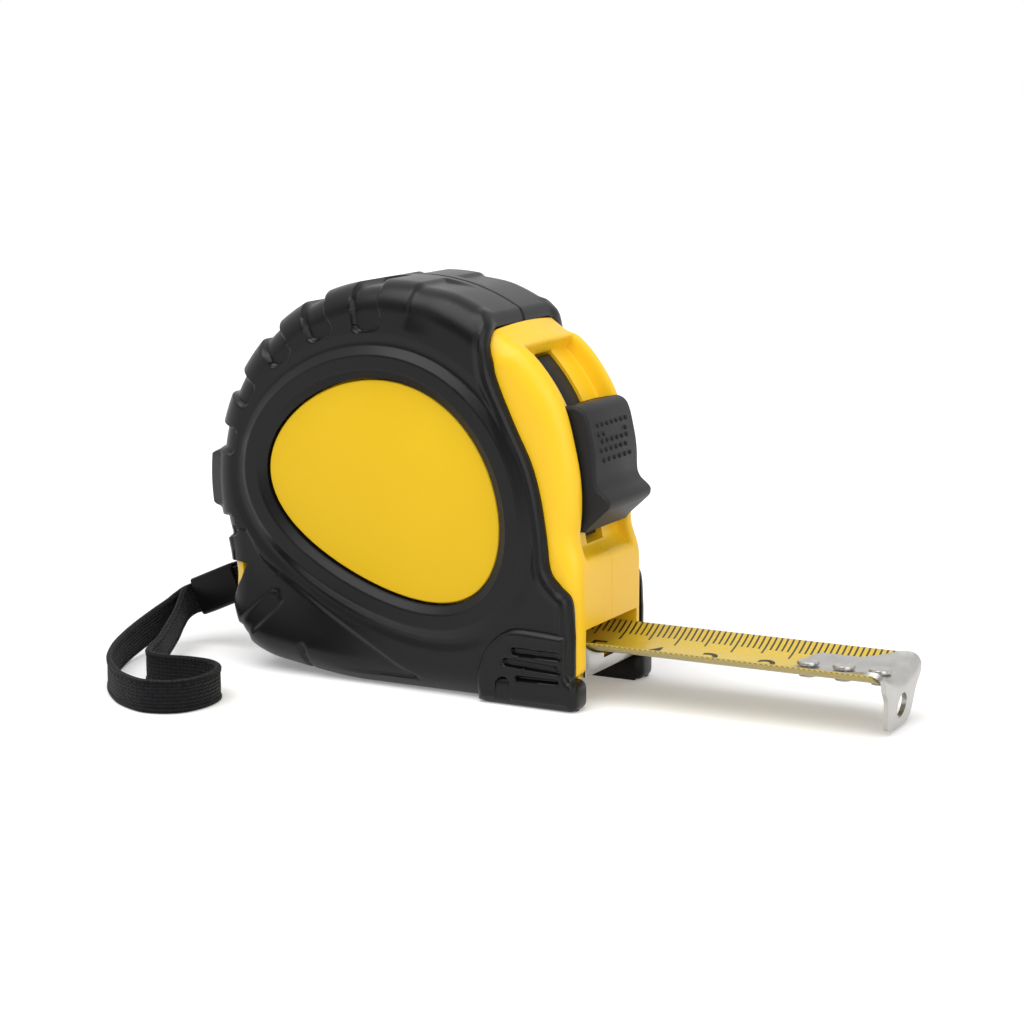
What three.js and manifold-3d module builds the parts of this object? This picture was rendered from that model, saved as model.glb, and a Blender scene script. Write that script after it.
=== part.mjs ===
// A 5 m pocket tape measure: two plastic case halves in a two-part rubber cover, a thumb lock,
// a sprung drum with the wound blade, the stretch of blade that is pulled out with its end hook,
// and a short wrist strap. Sizes are in millimetres.
// X points the way the blade is pulled, Y goes across the case and Z is up from the floor.
// While the pieces are made the drum axis is at X = 0, and the last group moves them all along X.
import * as THREE from 'three';
import { mergeVertices } from 'three/addons/utils/BufferGeometryUtils.js';
import Module from 'manifold-3d';

const wasm = await Module();
wasm.setup();

// Driving dimensions of the body
const drumAxisHeight = 33;
const coverRadius = 34.5;
const coverHalfWidth = 14.3;
const coverThickness = 2;
const shoulderRadius = 5;
const bodyHeight = drumAxisHeight + coverRadius;
const rearReach = 31.2;
const rearFootHeight = 14;
const rearFootRun = 15.2;
const rearJoinAngle = 197;

// Clearances and the overrun of every cutter
const fitGap = 0.3;
const partingGap = 0.3;
const slideGap = 0.15;
const overrun = 20;
const sliver = 0.05;

// Smoothness of round stretches, in degrees a step or in steps
const arcStep = 6;
const shoulderSteps = 3;
const rodSteps = 16;
const smallRoundSteps = 12;

// Yellow case
const caseHalfWidth = 12.2;
const caseWall = 1.6;
const caseShoulder = 2.7;
const chamberRadius = 28.6;
const bulgeRadius = 33.5;
const bulgeRound = 3.6;
const blockFront = coverRadius;
const blockTopStart = 19;
const blockTopEnd = 26;
const blockTopSetback = 1.3;
const blockRound = 2.2;
const blockBack = 20;
const caseFrontFloor = 4.3;

// Recess and slot of the thumb lock, angles in degrees above the drum axis
const recessRadius = 31.4;
const recessHalfWidth = 8.7;
const recessLowAngle = -11;
const recessHighAngle = 47;
const slotHalfWidth = 2.95;
const slotMargin = 2;

// Mouth of the case
const mouthHalfWidth = 9.5;
const mouthCeiling = 12.7;
const mouthFlangeSpace = 1.4;
const trackRear = 24;

// Blade: a steel strip with a trough along it
const bladeWidth = 19;
const bladeThickness = 0.3;
const troughRadius = 16.5;
const troughHeight = 7.95;
const troughSteps = 12;
const bladeStart = 25.8;
const bladeEnd = 82.8;

// Drum, wound blade and spring
const coilOuterRadius = 21.5;
const coilInnerRadius = 15.5;
const drumWall = 1;
const drumHalfWidth = 9.7;
const drumWeb = 1.2;
const postRadius = 2.4;
const springTurns = 7;
const springThickness = 0.5;
const springStepsPerTurn = 12;

// Thumb lock
const armInnerRadius = 26.5;
const armThickness = 1.5;
const armHalfWidth = 4.5;
const armLowAngle = -50;
const armHighAngle = 49;
const shoeSpan = 10;
const shoeHalfWidth = 3;
const shoeInset = 0.4;
const neckLowAngle = 2;
const neckHighAngle = 20;
const buttonHalfWidth = 8.2;

// End hook
const hookThickness = 0.8;
const tongueThickness = 0.6;
const hookFaceX = 84;
const tongueStart = 67;
const tongueHalfWidth = 5.5;
const flareStart = 76;
const flareEnd = 80.5;
const flareHalfWidth = 8;
const hookBottom = 0.5;
const hookBottomHalfWidth = 5.4;
const hookShoulderHeight = 6.5;
const hookCorner = 1.8;
const nailHoleRadius = 2.2;
const nailHoleHeight = 4.4;
const hookPlay = 0.4;
const rivetRadius = 0.9;
const rivetHeadRadius = 1.8;
const rivetHeadHeight = 0.7;
const rivetTailRadius = 1.5;
const rivetTailHeight = 0.5;
const firstRivetX = 68.9;
const rivetPitch = 6;
const rivetCount = 3;

// Steel plate at the mouth
const plateThickness = 0.6;
const plateStart = 24.5;
const plateHalfWidth = 9.2;
const plateFlangeX = 33.6;
const plateFlangeBottom = 4.6;
const plateSlotHalfWidth = 2.1;
const plateSlotFloor = 6.6;

// Egg-shaped side panel and the raised ring round it
const eggHalfLength = 22.4;
const eggHalfHeight = 16.8;
const eggBow = 3.84;
const eggCentreX = -0.76;
const eggDrop = 2.25;
const eggTilt = -22.9;
const eggSteps = 48;
const ringWidth = 5.8;
const ringRise = 0.7;
const ringOuterBevel = 1.9;
const panelSink = 0.4;
const panelBevel = 0.3;

// Tread of the rubber cover
const pocketDepth = 0.9;
const pocketHalfWidth = 2.1;
const pocketSeamMargin = 2.2;
const rearLugRise = 0.8;
const rearLugLowAngle = 172.5;
const rearLugHighAngle = 189.5;
const rearLugHalfWidth = 12.6;
const rearLugRound = 1.2;

// Boot at the lower front corner
const bootHalfWidth = 15.2;
const bootHeight = 12.4;
const bootBack = 17.2;
const bootRound = 6.5;
const bootBevel = 0.5;
const footHeight = 4;
const footGapHalfWidth = 10;
const footGapBack = 20.5;
const grooveHalfHeight = 0.55;
const grooveDepth = 0.6;

// Case screws
const screwRadius = 1;
const screwHeadRadius = 2;
const screwHeadHeight = 1.2;
const bossRadius = 2.2;
const rimBossRadius = 27.2;
const topBossAngle = 108;
const rearBossAngle = 207;
const frontBossX = 31;
const frontBossHeight = 17.5;
const screwTip = 7;

// Wrist strap
const bandWidth = 5.4;
const bandThickness = 0.9;
const bandLayer = 0.75;
const strapPinRadius = 1;
const strapPinX = -27.2;
const strapPinBottom = 10;
const strapPinTop = 18.6;
const strapHeight = 14.2;
const pocketWallX = -24.8;
const pocketHalfDepth = 3.4;
const notchX = -27.5;
const notchBottom = 10.6;
const notchTop = 18.8;
const notchHalfWidth = 10;
const sleeveLength = 9.2;
const sleeveHeight = 6.8;
const sleeveHalfDepth = 2;
const sleeveOpeningHeight = 5.9;
const sleeveOpeningHalfDepth = 1.5;
const sleeveCentreX = -41.7;
const sleeveCentreZ = 10.35;
const sleeveTilt = -23.8;
const leadSteps = 36;
const strapSteps = 78;

// Finishes, as colours with their roughness and metalness
const yellowPlastic = finish(0xffd62f, 0.42, 0);
const panelYellow = finish(0xeec322, 0.38, 0);
const rubber = finish(0x333336, 0.72, 0);
const lockPlastic = finish(0x2f2f32, 0.6, 0);
const darkPlastic = finish(0x1f2022, 0.55, 0);
const bladeEnamel = finish(0xf2d23a, 0.4, 0.1);
const hookSteel = finish(0xc9c7c2, 0.3, 1);
const plateSteel = finish(0xb4b2ae, 0.35, 1);
const springSteel = finish(0x6c7078, 0.4, 1);
const screwSteel = finish(0x55575c, 0.4, 1);
const webbing = finish(0x17171a, 0.9, 0);

function finish(color, roughness, metalness) {
  return new THREE.MeshStandardMaterial({ color, roughness, metalness });
}

// Closed geometry to solid and back

function solidOf(geometry) {
  const bare = geometry.index ? geometry.toNonIndexed() : geometry.clone();
  bare.deleteAttribute('normal');
  bare.deleteAttribute('uv');
  const merged = mergeVertices(bare, sliver / overrun / 2);
  return new wasm.Manifold(new wasm.Mesh({
    numProp: 3,
    vertProperties: Float32Array.from(merged.attributes.position.array),
    triVerts: Uint32Array.from(merged.index.array),
  }));
}

function meshOf(name, solid, material) {
  const data = solid.getMesh();
  const geometry = new THREE.BufferGeometry();
  geometry.setAttribute('position', new THREE.BufferAttribute(data.vertProperties, 3));
  geometry.setIndex(new THREE.BufferAttribute(data.triVerts, 1));
  geometry.computeVertexNormals();
  const mesh = new THREE.Mesh(geometry, material);
  mesh.name = name;
  return mesh;
}

function join(solids) {
  return solids.reduce((whole, solid) => whole.add(solid));
}

// Shape builders. An XZ outline is extruded across the case, a YZ outline along it.

function radians(degrees) {
  return THREE.MathUtils.degToRad(degrees);
}

function shapeOf(points) {
  return new THREE.Shape(points.map(([a, b]) => new THREE.Vector2(a, b)));
}

function extrudeAcross(points, low, high) {
  const geometry = new THREE.ExtrudeGeometry(shapeOf(points), { depth: high - low, bevelEnabled: false });
  geometry.rotateX(Math.PI / 2);
  geometry.translate(0, high, 0);
  return solidOf(geometry);
}

// The outline is that of the two end faces; the middle stands out from it by the size of the rounding
function roundedAcross(points, halfWidth, size, thickness, steps) {
  const depth = 2 * (halfWidth - thickness);
  const geometry = new THREE.ExtrudeGeometry(shapeOf(points), {
    depth, bevelEnabled: true, bevelSize: size, bevelThickness: thickness, bevelSegments: steps,
  });
  geometry.rotateX(Math.PI / 2);
  geometry.translate(0, depth / 2, 0);
  return solidOf(geometry);
}

function extrudeAlong(points, low, high) {
  const geometry = new THREE.ExtrudeGeometry(shapeOf(points), { depth: high - low, bevelEnabled: false });
  const turn = new THREE.Matrix4().makeBasis(
    new THREE.Vector3(0, 1, 0), new THREE.Vector3(0, 0, 1), new THREE.Vector3(1, 0, 0));
  geometry.applyMatrix4(turn);
  geometry.translate(low, 0, 0);
  return solidOf(geometry);
}

function extrudeUp(points, low, high) {
  const geometry = new THREE.ExtrudeGeometry(shapeOf(points), { depth: high - low, bevelEnabled: false });
  geometry.translate(0, 0, low);
  return solidOf(geometry);
}

function block(x0, x1, y0, y1, z0, z1) {
  const geometry = new THREE.BoxGeometry(x1 - x0, y1 - y0, z1 - z0);
  geometry.translate((x0 + x1) / 2, (y0 + y1) / 2, (z0 + z1) / 2);
  return solidOf(geometry);
}

// A round bar across the case, its axis at x, z
function barAcross(x, z, radius, y0, y1, steps) {
  const geometry = new THREE.CylinderGeometry(radius, radius, y1 - y0, steps);
  geometry.translate(x, (y0 + y1) / 2, z);
  return solidOf(geometry);
}

function postUp(x, y, radius, z0, z1, steps) {
  const geometry = new THREE.CylinderGeometry(radius, radius, z1 - z0, steps);
  geometry.rotateX(Math.PI / 2);
  geometry.translate(x, y, (z0 + z1) / 2);
  return solidOf(geometry);
}

function arcPoints(cx, cz, rx, rz, from, to, step) {
  const count = Math.max(1, Math.round(Math.abs(to - from) / step));
  return Array.from({ length: count + 1 }, (_, i) => {
    const angle = radians(from + (to - from) * i / count);
    return [cx + rx * Math.cos(angle), cz + rz * Math.sin(angle)];
  });
}

// A sector of a ring round the drum axis, between two radii and two angles
function sectorAcross(inner, outer, from, to, low, high) {
  const points = [
    ...arcPoints(0, drumAxisHeight, outer, outer, from, to, arcStep),
    ...arcPoints(0, drumAxisHeight, inner, inner, to, from, arcStep),
  ];
  return extrudeAcross(points, low, high);
}

function roundedRectangle(x0, x1, z0, z1, radius) {
  const step = arcStep * 4;
  return [
    ...arcPoints(x1 - radius, z1 - radius, radius, radius, 0, 90, step),
    ...arcPoints(x0 + radius, z1 - radius, radius, radius, 90, 180, step),
    ...arcPoints(x0 + radius, z0 + radius, radius, radius, 180, 270, step),
    ...arcPoints(x1 - radius, z0 + radius, radius, radius, 270, 360, step),
  ];
}

// Side outline of the body, drawn in by an inset: round over the drum, a cut-away rear foot,
// a flat base and an upright front, which a forward share of the shoulder can move ahead
function bodyOutline(inset, forward = 0) {
  const radius = coverRadius - inset;
  const footX = rearFootRun - rearReach;
  const front = radius + forward;
  const outline = [
    ...arcPoints(0, drumAxisHeight, radius, radius, 0, rearJoinAngle, arcStep),
    ...arcPoints(footX, rearFootHeight, rearFootRun - inset, rearFootHeight - inset, 180, 270, arcStep * 3),
    [front, inset],
  ];
  return forward > 0 ? [...outline, [front, drumAxisHeight]] : outline;
}

// Front edge of the rubber on the flank, from the seam at the top down to the foot,
// as shares of the cover's radius and of the body's height
const frontEdgeShares = [
  [0.528, 0.935], [0.556, 0.908], [0.554, 0.866], [0.564, 0.804], [0.6, 0.752], [0.678, 0.667],
  [0.757, 0.587], [0.806, 0.505], [0.838, 0.412], [0.86, 0.334], [0.915, 0.298], [0.975, 0.266],
  [0.99, 0.18],
];
const frontEdgeSteps = 30;

// Everything in front of the rubber's edge and above the feet, moved forward by a gap
function frontRegion(gap) {
  const curve = new THREE.SplineCurve(frontEdgeShares.map(
    ([x, z]) => new THREE.Vector2(x * coverRadius + gap, z * bodyHeight)));
  const edge = curve.getPoints(frontEdgeSteps).map((point) => [point.x, point.y]);
  const last = edge[edge.length - 1];
  const far = coverRadius + overrun;
  const points = [
    [edge[0][0], bodyHeight + overrun], ...edge, [last[0], footHeight + gap],
    [far, footHeight + gap], [far, bodyHeight + overrun],
  ];
  return extrudeAcross(points, -overrun, overrun);
}

// Egg outline of the side panel, grown by an offset
function eggOutline(offset) {
  const tilt = radians(eggTilt);
  const centreZ = drumAxisHeight - eggDrop;
  const place = (angle) => {
    const along = eggHalfLength * Math.cos(angle);
    const across = eggHalfHeight * Math.sin(angle) + eggBow * Math.sin(angle) ** 2;
    return [
      eggCentreX + along * Math.cos(tilt) - across * Math.sin(tilt),
      centreZ + along * Math.sin(tilt) + across * Math.cos(tilt),
    ];
  };
  return Array.from({ length: eggSteps }, (_, i) => {
    const angle = 2 * Math.PI * i / eggSteps;
    const [x, z] = place(angle);
    const [ax, az] = place(angle - Math.PI / eggSteps);
    const [bx, bz] = place(angle + Math.PI / eggSteps);
    const size = Math.hypot(bx - ax, bz - az);
    return [x + offset * (bz - az) / size, z - offset * (bx - ax) / size];
  });
}

function leftHalf(solid) {
  const reach = coverRadius * 2;
  return solid.intersect(block(-reach, reach, -reach, -partingGap / 2, -reach, bodyHeight + reach));
}

function rightHalf(solid) {
  const reach = coverRadius * 2;
  return solid.intersect(block(-reach, reach, partingGap / 2, reach, -reach, bodyHeight + reach));
}

// Screw places, as [x, z]
const rimBoss = (angle) => [
  rimBossRadius * Math.cos(radians(angle)),
  drumAxisHeight + rimBossRadius * Math.sin(radians(angle)),
];
const screwPlaces = [rimBoss(topBossAngle), rimBoss(rearBossAngle), [frontBossX, frontBossHeight]];
const spindlePlace = [0, drumAxisHeight];
const screwHeadFace = caseHalfWidth - fitGap;

// Radii of the pieces that nest along the blade's trough, from the top down
const troughCentreZ = troughHeight + troughRadius;
const tongueBottomRadius = troughRadius - slideGap;
const tongueTopRadius = tongueBottomRadius - tongueThickness;
const bladeBottomRadius = troughRadius + bladeThickness;
const plateTopRadius = bladeBottomRadius + fitGap;
const plateBottomRadius = plateTopRadius + plateThickness;
const trackRadius = plateBottomRadius + fitGap;

// Yellow case

function caseBody() {
  const inset = coverThickness + fitGap;
  const base = roundedAcross(
    bodyOutline(inset + caseShoulder), caseHalfWidth, caseShoulder, caseShoulder, shoulderSteps);
  const bulgeCircle = arcPoints(
    0, drumAxisHeight, bulgeRadius - bulgeRound, bulgeRadius - bulgeRound, 0, 360, arcStep).slice(0, -1);
  const bulge = roundedAcross(
    bulgeCircle, caseHalfWidth - sliver, bulgeRound, bulgeRound, shoulderSteps + 1);
  const front = blockFront - blockRound;
  const blockOutline = [
    [blockBack, caseFrontFloor + blockRound],
    [front, caseFrontFloor + blockRound],
    [front, blockTopStart],
    [front - blockTopSetback, blockTopEnd],
    [blockBack, blockTopEnd],
  ];
  const mouthBlock = roundedAcross(
    blockOutline, caseHalfWidth - 2 * sliver, blockRound, blockRound, shoulderSteps);
  const underFront = block(
    footGapBack, coverRadius + overrun, -overrun, overrun, -overrun, caseFrontFloor);
  return base.add(bulge.intersect(frontRegion(fitGap))).add(mouthBlock).subtract(underFront);
}

function caseHollows() {
  const halfDepth = caseHalfWidth - caseWall;
  const chamber = barAcross(0, drumAxisHeight, chamberRadius, -halfDepth, halfDepth, 360 / arcStep);
  const spread = THREE.MathUtils.radToDeg(Math.asin(mouthHalfWidth / trackRadius));
  const trackOutline = [
    ...arcPoints(0, troughCentreZ, trackRadius, trackRadius, 270 - spread, 270 + spread, arcStep),
    [mouthHalfWidth, mouthCeiling],
    [-mouthHalfWidth, mouthCeiling],
  ];
  const track = extrudeAlong(trackOutline, -trackRear, blockFront + overrun);
  const flangeSpace = block(
    blockFront - mouthFlangeSpace, blockFront + overrun, -mouthHalfWidth, mouthHalfWidth,
    -overrun, mouthCeiling);
  const recess = sectorAcross(
    recessRadius, coverRadius + overrun, recessLowAngle, recessHighAngle,
    -recessHalfWidth, recessHalfWidth);
  const slot = sectorAcross(
    chamberRadius - slotMargin, coverRadius, recessLowAngle + slotMargin, recessHighAngle - slotMargin,
    -slotHalfWidth, slotHalfWidth);
  const halfBand = bandWidth / 2 + fitGap;
  const strapPocket = block(
    -coverRadius - overrun, pocketWallX, -pocketHalfDepth, pocketHalfDepth,
    strapHeight - halfBand, strapHeight + halfBand);
  const pinSeat = postUp(
    strapPinX, 0, strapPinRadius + slideGap, strapPinBottom - fitGap, strapPinTop + fitGap, rodSteps);
  return join([chamber, track, flangeSpace, recess, slot, strapPocket, pinSeat]);
}

// Round posts inside the chamber that take the screws
function caseBosses() {
  const halfDepth = caseHalfWidth - caseWall;
  return join(screwPlaces.slice(0, 2).map(
    ([x, z]) => barAcross(x, z, bossRadius, -halfDepth - sliver, halfDepth + sliver, rodSteps)));
}

function screwHoles() {
  const shank = screwRadius + fitGap;
  const head = screwHeadRadius + fitGap;
  const seat = screwHeadFace - screwHeadHeight - fitGap;
  const holes = screwPlaces.map(
    ([x, z]) => barAcross(x, z, shank, -screwTip - fitGap, overrun, rodSteps));
  const seats = [...screwPlaces, spindlePlace].map(
    ([x, z]) => barAcross(x, z, head, seat, overrun, rodSteps));
  const [x, z] = spindlePlace;
  const spindleHole = barAcross(x, z, shank, 0, overrun, rodSteps);
  return join([...holes, ...seats, spindleHole]);
}

function caseParts() {
  const whole = caseBody().subtract(caseHollows()).add(caseBosses()).subtract(screwHoles());
  return [
    meshOf('case_left', leftHalf(whole), yellowPlastic),
    meshOf('case_right', rightHalf(whole), yellowPlastic),
  ];
}

// Rubber cover

// Angles of the tread pockets round the drum axis, and how far from it each one's round end lies,
// as a share of the cover's radius
const pocketAngles = [87, 98.3, 118, 135.5, 148, 158, 168.5, 195, 221];
const pocketEndShares = [0.77, 0.76, 0.8, 0.84, 0.84, 0.85, 0.87, 0.88, 0.86];

// The flanks stay flat up to the front edge, so the outline is rounded further ahead and cut back
function coverOutside() {
  const ahead = block(coverRadius, coverRadius + overrun, -overrun, overrun, -overrun, bodyHeight);
  return roundedAcross(
    bodyOutline(shoulderRadius, shoulderRadius), coverHalfWidth, shoulderRadius, shoulderRadius,
    shoulderSteps + 1).subtract(ahead);
}

// U-shaped pockets from the flank over the shoulder towards the seam
function treadPockets() {
  const floor = roundedAcross(
    bodyOutline(shoulderRadius), coverHalfWidth - pocketDepth, shoulderRadius - pocketDepth,
    shoulderRadius - pocketDepth, shoulderSteps + 1);
  const channels = join(pocketAngles.map((angle, i) => {
    const end = pocketEndShares[i] * coverRadius;
    const upright = [
      [pocketHalfWidth, coverRadius + overrun],
      [-pocketHalfWidth, coverRadius + overrun],
      ...arcPoints(0, end + pocketHalfWidth, pocketHalfWidth, pocketHalfWidth, 180, 360, arcStep * 6),
    ];
    const turn = radians(angle) - Math.PI / 2;
    const turned = upright.map(([x, z]) => [
      x * Math.cos(turn) - z * Math.sin(turn),
      drumAxisHeight + x * Math.sin(turn) + z * Math.cos(turn),
    ]);
    return extrudeAcross(turned, pocketSeamMargin, overrun)
      .add(extrudeAcross(turned, -overrun, -pocketSeamMargin));
  }));
  return channels.subtract(floor);
}

// The tall lug at the rear
function rearLug() {
  const radius = coverRadius + rearLugRise - rearLugRound;
  const points = [
    ...arcPoints(0, drumAxisHeight, radius, radius, rearLugLowAngle, rearLugHighAngle, arcStep),
    ...arcPoints(
      0, drumAxisHeight, chamberRadius, chamberRadius, rearLugHighAngle, rearLugLowAngle, arcStep * 4),
  ];
  return roundedAcross(points, rearLugHalfWidth, rearLugRound, rearLugRound, 2);
}

function eggRing() {
  return roundedAcross(
    eggOutline(ringWidth - ringOuterBevel), coverHalfWidth + ringRise, ringOuterBevel, ringRise, 1);
}

function bootPad() {
  const inset = bootBevel;
  const points = [
    [bootBack + inset, inset],
    [coverRadius - inset, inset],
    [coverRadius - inset, bootHeight - inset],
    ...arcPoints(
      bootBack + bootRound, bootHeight - bootRound, bootRound - inset, bootRound - inset,
      90, 180, arcStep * 3),
  ];
  return roundedAcross(points, bootHalfWidth, inset, inset, 1);
}

// Grip grooves of the boot, as places and lengths in shares of the pad's height and length
const grooveHeightShares = [0.74, 0.58, 0.4];
const grooveStartShares = [0.3, 0.2, 0.32];
const grooveEndShare = 0.86;

function bootGrooves() {
  const length = coverRadius - bootBack;
  const grooves = grooveHeightShares.map((heightShare, i) => {
    const z = heightShare * bootHeight;
    const outline = roundedRectangle(
      bootBack + grooveStartShares[i] * length, bootBack + grooveEndShare * length,
      z - grooveHalfHeight, z + grooveHalfHeight, grooveHalfHeight - sliver);
    return extrudeAcross(outline, bootHalfWidth - grooveDepth, overrun)
      .add(extrudeAcross(outline, -overrun, grooveDepth - bootHalfWidth));
  });
  return join(grooves);
}

function coverBody() {
  const innerHalf = caseHalfWidth + fitGap / 2;
  const innerRound = caseShoulder + fitGap / 2;
  const inside = roundedAcross(
    bodyOutline(coverThickness + innerRound), innerHalf, innerRound, innerRound, shoulderSteps);
  const frontFloor = block(
    footGapBack - fitGap, coverRadius + overrun, -innerHalf, innerHalf, footHeight, bodyHeight);
  const underFront = block(
    footGapBack, coverRadius + overrun, -footGapHalfWidth, footGapHalfWidth, -overrun, footHeight + sliver);
  const notch = block(
    -coverRadius - overrun, notchX, -notchHalfWidth, notchHalfWidth, notchBottom, notchTop);
  const panelHole = extrudeAcross(eggOutline(fitGap), -overrun, overrun);
  const outside = coverOutside().subtract(treadPockets());
  return join([outside, rearLug(), eggRing(), bootPad()])
    .subtract(inside)
    .subtract(join([frontRegion(0), frontFloor, underFront, notch, panelHole, bootGrooves()]));
}

function coverParts() {
  const whole = coverBody();
  const screwAccess = join(screwPlaces.map(
    ([x, z]) => barAcross(x, z, screwHeadRadius + fitGap, 0, overrun, rodSteps)));
  return [
    meshOf('rubber_cover_left', leftHalf(whole), rubber),
    meshOf('rubber_cover_right', rightHalf(whole).subtract(screwAccess), rubber),
  ];
}

function panelParts() {
  const inner = caseHalfWidth + slideGap;
  const outer = coverHalfWidth - panelSink;
  const make = (name, side) => {
    const middle = side * (inner + outer) / 2;
    const plate = roundedAcross(
      eggOutline(-panelBevel), (outer - inner) / 2, panelBevel, panelBevel, 1);
    return meshOf(name, plate.translate([0, middle, 0]), panelYellow);
  };
  return [make('side_panel_left', -1), make('side_panel_right', 1)];
}

// Screws, all driven from the right side

function screwParts() {
  const head = screwHeadFace - screwHeadHeight;
  const drive = screwHeadRadius / 4;
  const make = (name, [x, z], tip) => {
    const shank = barAcross(x, z, screwRadius, tip, head + sliver, rodSteps);
    const cap = barAcross(x, z, screwHeadRadius, head, screwHeadFace, rodSteps);
    const depth = screwHeadFace - screwHeadHeight / 2;
    const arm = screwHeadRadius * 2 / 3;
    const cross = block(x - arm, x + arm, depth, overrun, z - drive / 2, z + drive / 2)
      .add(block(x - drive / 2, x + drive / 2, depth, overrun, z - arm, z + arm));
    return meshOf(name, shank.add(cap).subtract(cross), screwSteel);
  };
  return [
    make('screw_top', screwPlaces[0], -screwTip),
    make('screw_rear', screwPlaces[1], -screwTip),
    make('screw_front', screwPlaces[2], -screwTip),
    make('screw_spindle', spindlePlace, screwTip / 2),
  ];
}

// Drum, spring and wound blade

function drumParts() {
  const rimRadius = coilInnerRadius - fitGap;
  const inner = rimRadius - drumWall;
  const bore = postRadius + fitGap;
  const axis = (radius, low, high, steps) => barAcross(0, drumAxisHeight, radius, low, high, steps);
  const fine = 360 / arcStep;
  const cup = axis(rimRadius, -drumHalfWidth, drumHalfWidth, fine)
    .subtract(axis(inner, drumWeb - drumHalfWidth, drumHalfWidth + overrun, fine))
    .subtract(axis(bore, -overrun, overrun, rodSteps));
  const lid = axis(inner - fitGap, drumHalfWidth - drumWeb, drumHalfWidth, fine)
    .subtract(axis(bore, -overrun, overrun, rodSteps));
  const winding = axis(coilOuterRadius, -bladeWidth / 2, bladeWidth / 2, fine)
    .subtract(axis(coilInnerRadius, -overrun, overrun, fine));
  const postHalf = caseHalfWidth - caseWall - fitGap;
  const post = axis(postRadius, -postHalf, postHalf, rodSteps)
    .subtract(axis(screwRadius + fitGap, screwTip / 2 - fitGap, overrun, rodSteps));
  return [
    meshOf('drum', cup, darkPlastic),
    meshOf('drum_cover', lid, darkPlastic),
    meshOf('blade_winding', winding, bladeEnamel),
    meshOf('spindle_post', post, hookSteel),
  ];
}

// A flat spiral from the post out to the drum's rim
function springPart() {
  const first = postRadius + fitGap + springThickness;
  const last = coilInnerRadius - fitGap - drumWall - fitGap - springThickness;
  const count = springTurns * springStepsPerTurn;
  const edge = (offset) => Array.from({ length: count + 1 }, (_, i) => {
    const angle = 2 * Math.PI * springTurns * i / count;
    const radius = first + (last - first) * i / count + offset;
    return [radius * Math.cos(angle), drumAxisHeight + radius * Math.sin(angle)];
  });
  const outline = [...edge(springThickness / 2), ...edge(-springThickness / 2).reverse()];
  const half = drumHalfWidth - drumWeb - fitGap;
  return meshOf('power_spring', extrudeAcross(outline, -half, half), springSteel);
}

// Blade, hook and mouth plate all follow the blade's trough

// Strip between two radii of the trough, out to a half width
function troughOutline(topRadius, bottomRadius, halfWidth) {
  const spread = THREE.MathUtils.radToDeg(Math.asin(halfWidth / bottomRadius));
  const step = 2 * spread / troughSteps;
  return [
    ...arcPoints(0, troughCentreZ, bottomRadius, bottomRadius, 270 - spread, 270 + spread, step),
    ...arcPoints(0, troughCentreZ, topRadius, topRadius, 270 + spread, 270 - spread, step),
  ];
}

const bladeHalfChord = bladeBottomRadius * Math.sin(bladeWidth / 2 / bladeBottomRadius);
const rivetXs = Array.from({ length: rivetCount }, (_, i) => firstRivetX + i * rivetPitch);

function bladePart() {
  const strip = extrudeAlong(
    troughOutline(troughRadius, bladeBottomRadius, bladeHalfChord), bladeStart, bladeEnd);
  const holes = join(rivetXs.map(
    (x) => postUp(x, 0, rivetRadius + slideGap, 0, troughCentreZ, smallRoundSteps)));
  return meshOf('blade', strip.subtract(holes), bladeEnamel);
}

function hookPart() {
  const sheet = extrudeAlong(
    troughOutline(tongueTopRadius, tongueBottomRadius, flareHalfWidth), tongueStart, hookFaceX + sliver);
  const nose = tongueHalfWidth / 2;
  const plan = [
    [tongueStart + nose, -tongueHalfWidth], [flareStart, -tongueHalfWidth], [flareEnd, -flareHalfWidth],
    [hookFaceX + overrun, -flareHalfWidth], [hookFaceX + overrun, flareHalfWidth],
    [flareEnd, flareHalfWidth], [flareStart, tongueHalfWidth], [tongueStart + nose, tongueHalfWidth],
    [tongueStart, tongueHalfWidth - nose], [tongueStart, nose - tongueHalfWidth],
  ];
  const tongue = sheet.intersect(extrudeUp(plan, 0, troughCentreZ));
  const side = hookBottomHalfWidth;
  const spread = THREE.MathUtils.radToDeg(Math.asin(flareHalfWidth / tongueTopRadius));
  const faceOutline = [
    ...arcPoints(
      0, troughCentreZ, tongueTopRadius, tongueTopRadius,
      270 + spread, 270 - spread, 2 * spread / troughSteps),
    [-flareHalfWidth, hookShoulderHeight],
    [-side, hookBottom + hookCorner],
    [hookCorner - side, hookBottom],
    [side - hookCorner, hookBottom],
    [side, hookBottom + hookCorner],
    [flareHalfWidth, hookShoulderHeight],
  ];
  const hole = arcPoints(0, nailHoleHeight, nailHoleRadius, nailHoleRadius, 0, 360, 360 / smallRoundSteps);
  const face = extrudeAlong(faceOutline, hookFaceX, hookFaceX + hookThickness)
    .subtract(extrudeAlong(hole.slice(0, -1), hookFaceX - overrun, hookFaceX + overrun));
  const reach = rivetRadius + slideGap + hookPlay + slideGap;
  const slots = join(rivetXs.map((x) => {
    const half = rivetRadius + 2 * slideGap;
    return extrudeUp(roundedRectangle(x - reach, x + reach, -half, half, half - sliver), 0, troughCentreZ);
  }));
  return meshOf('end_hook', tongue.subtract(slots).add(face), hookSteel);
}

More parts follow.
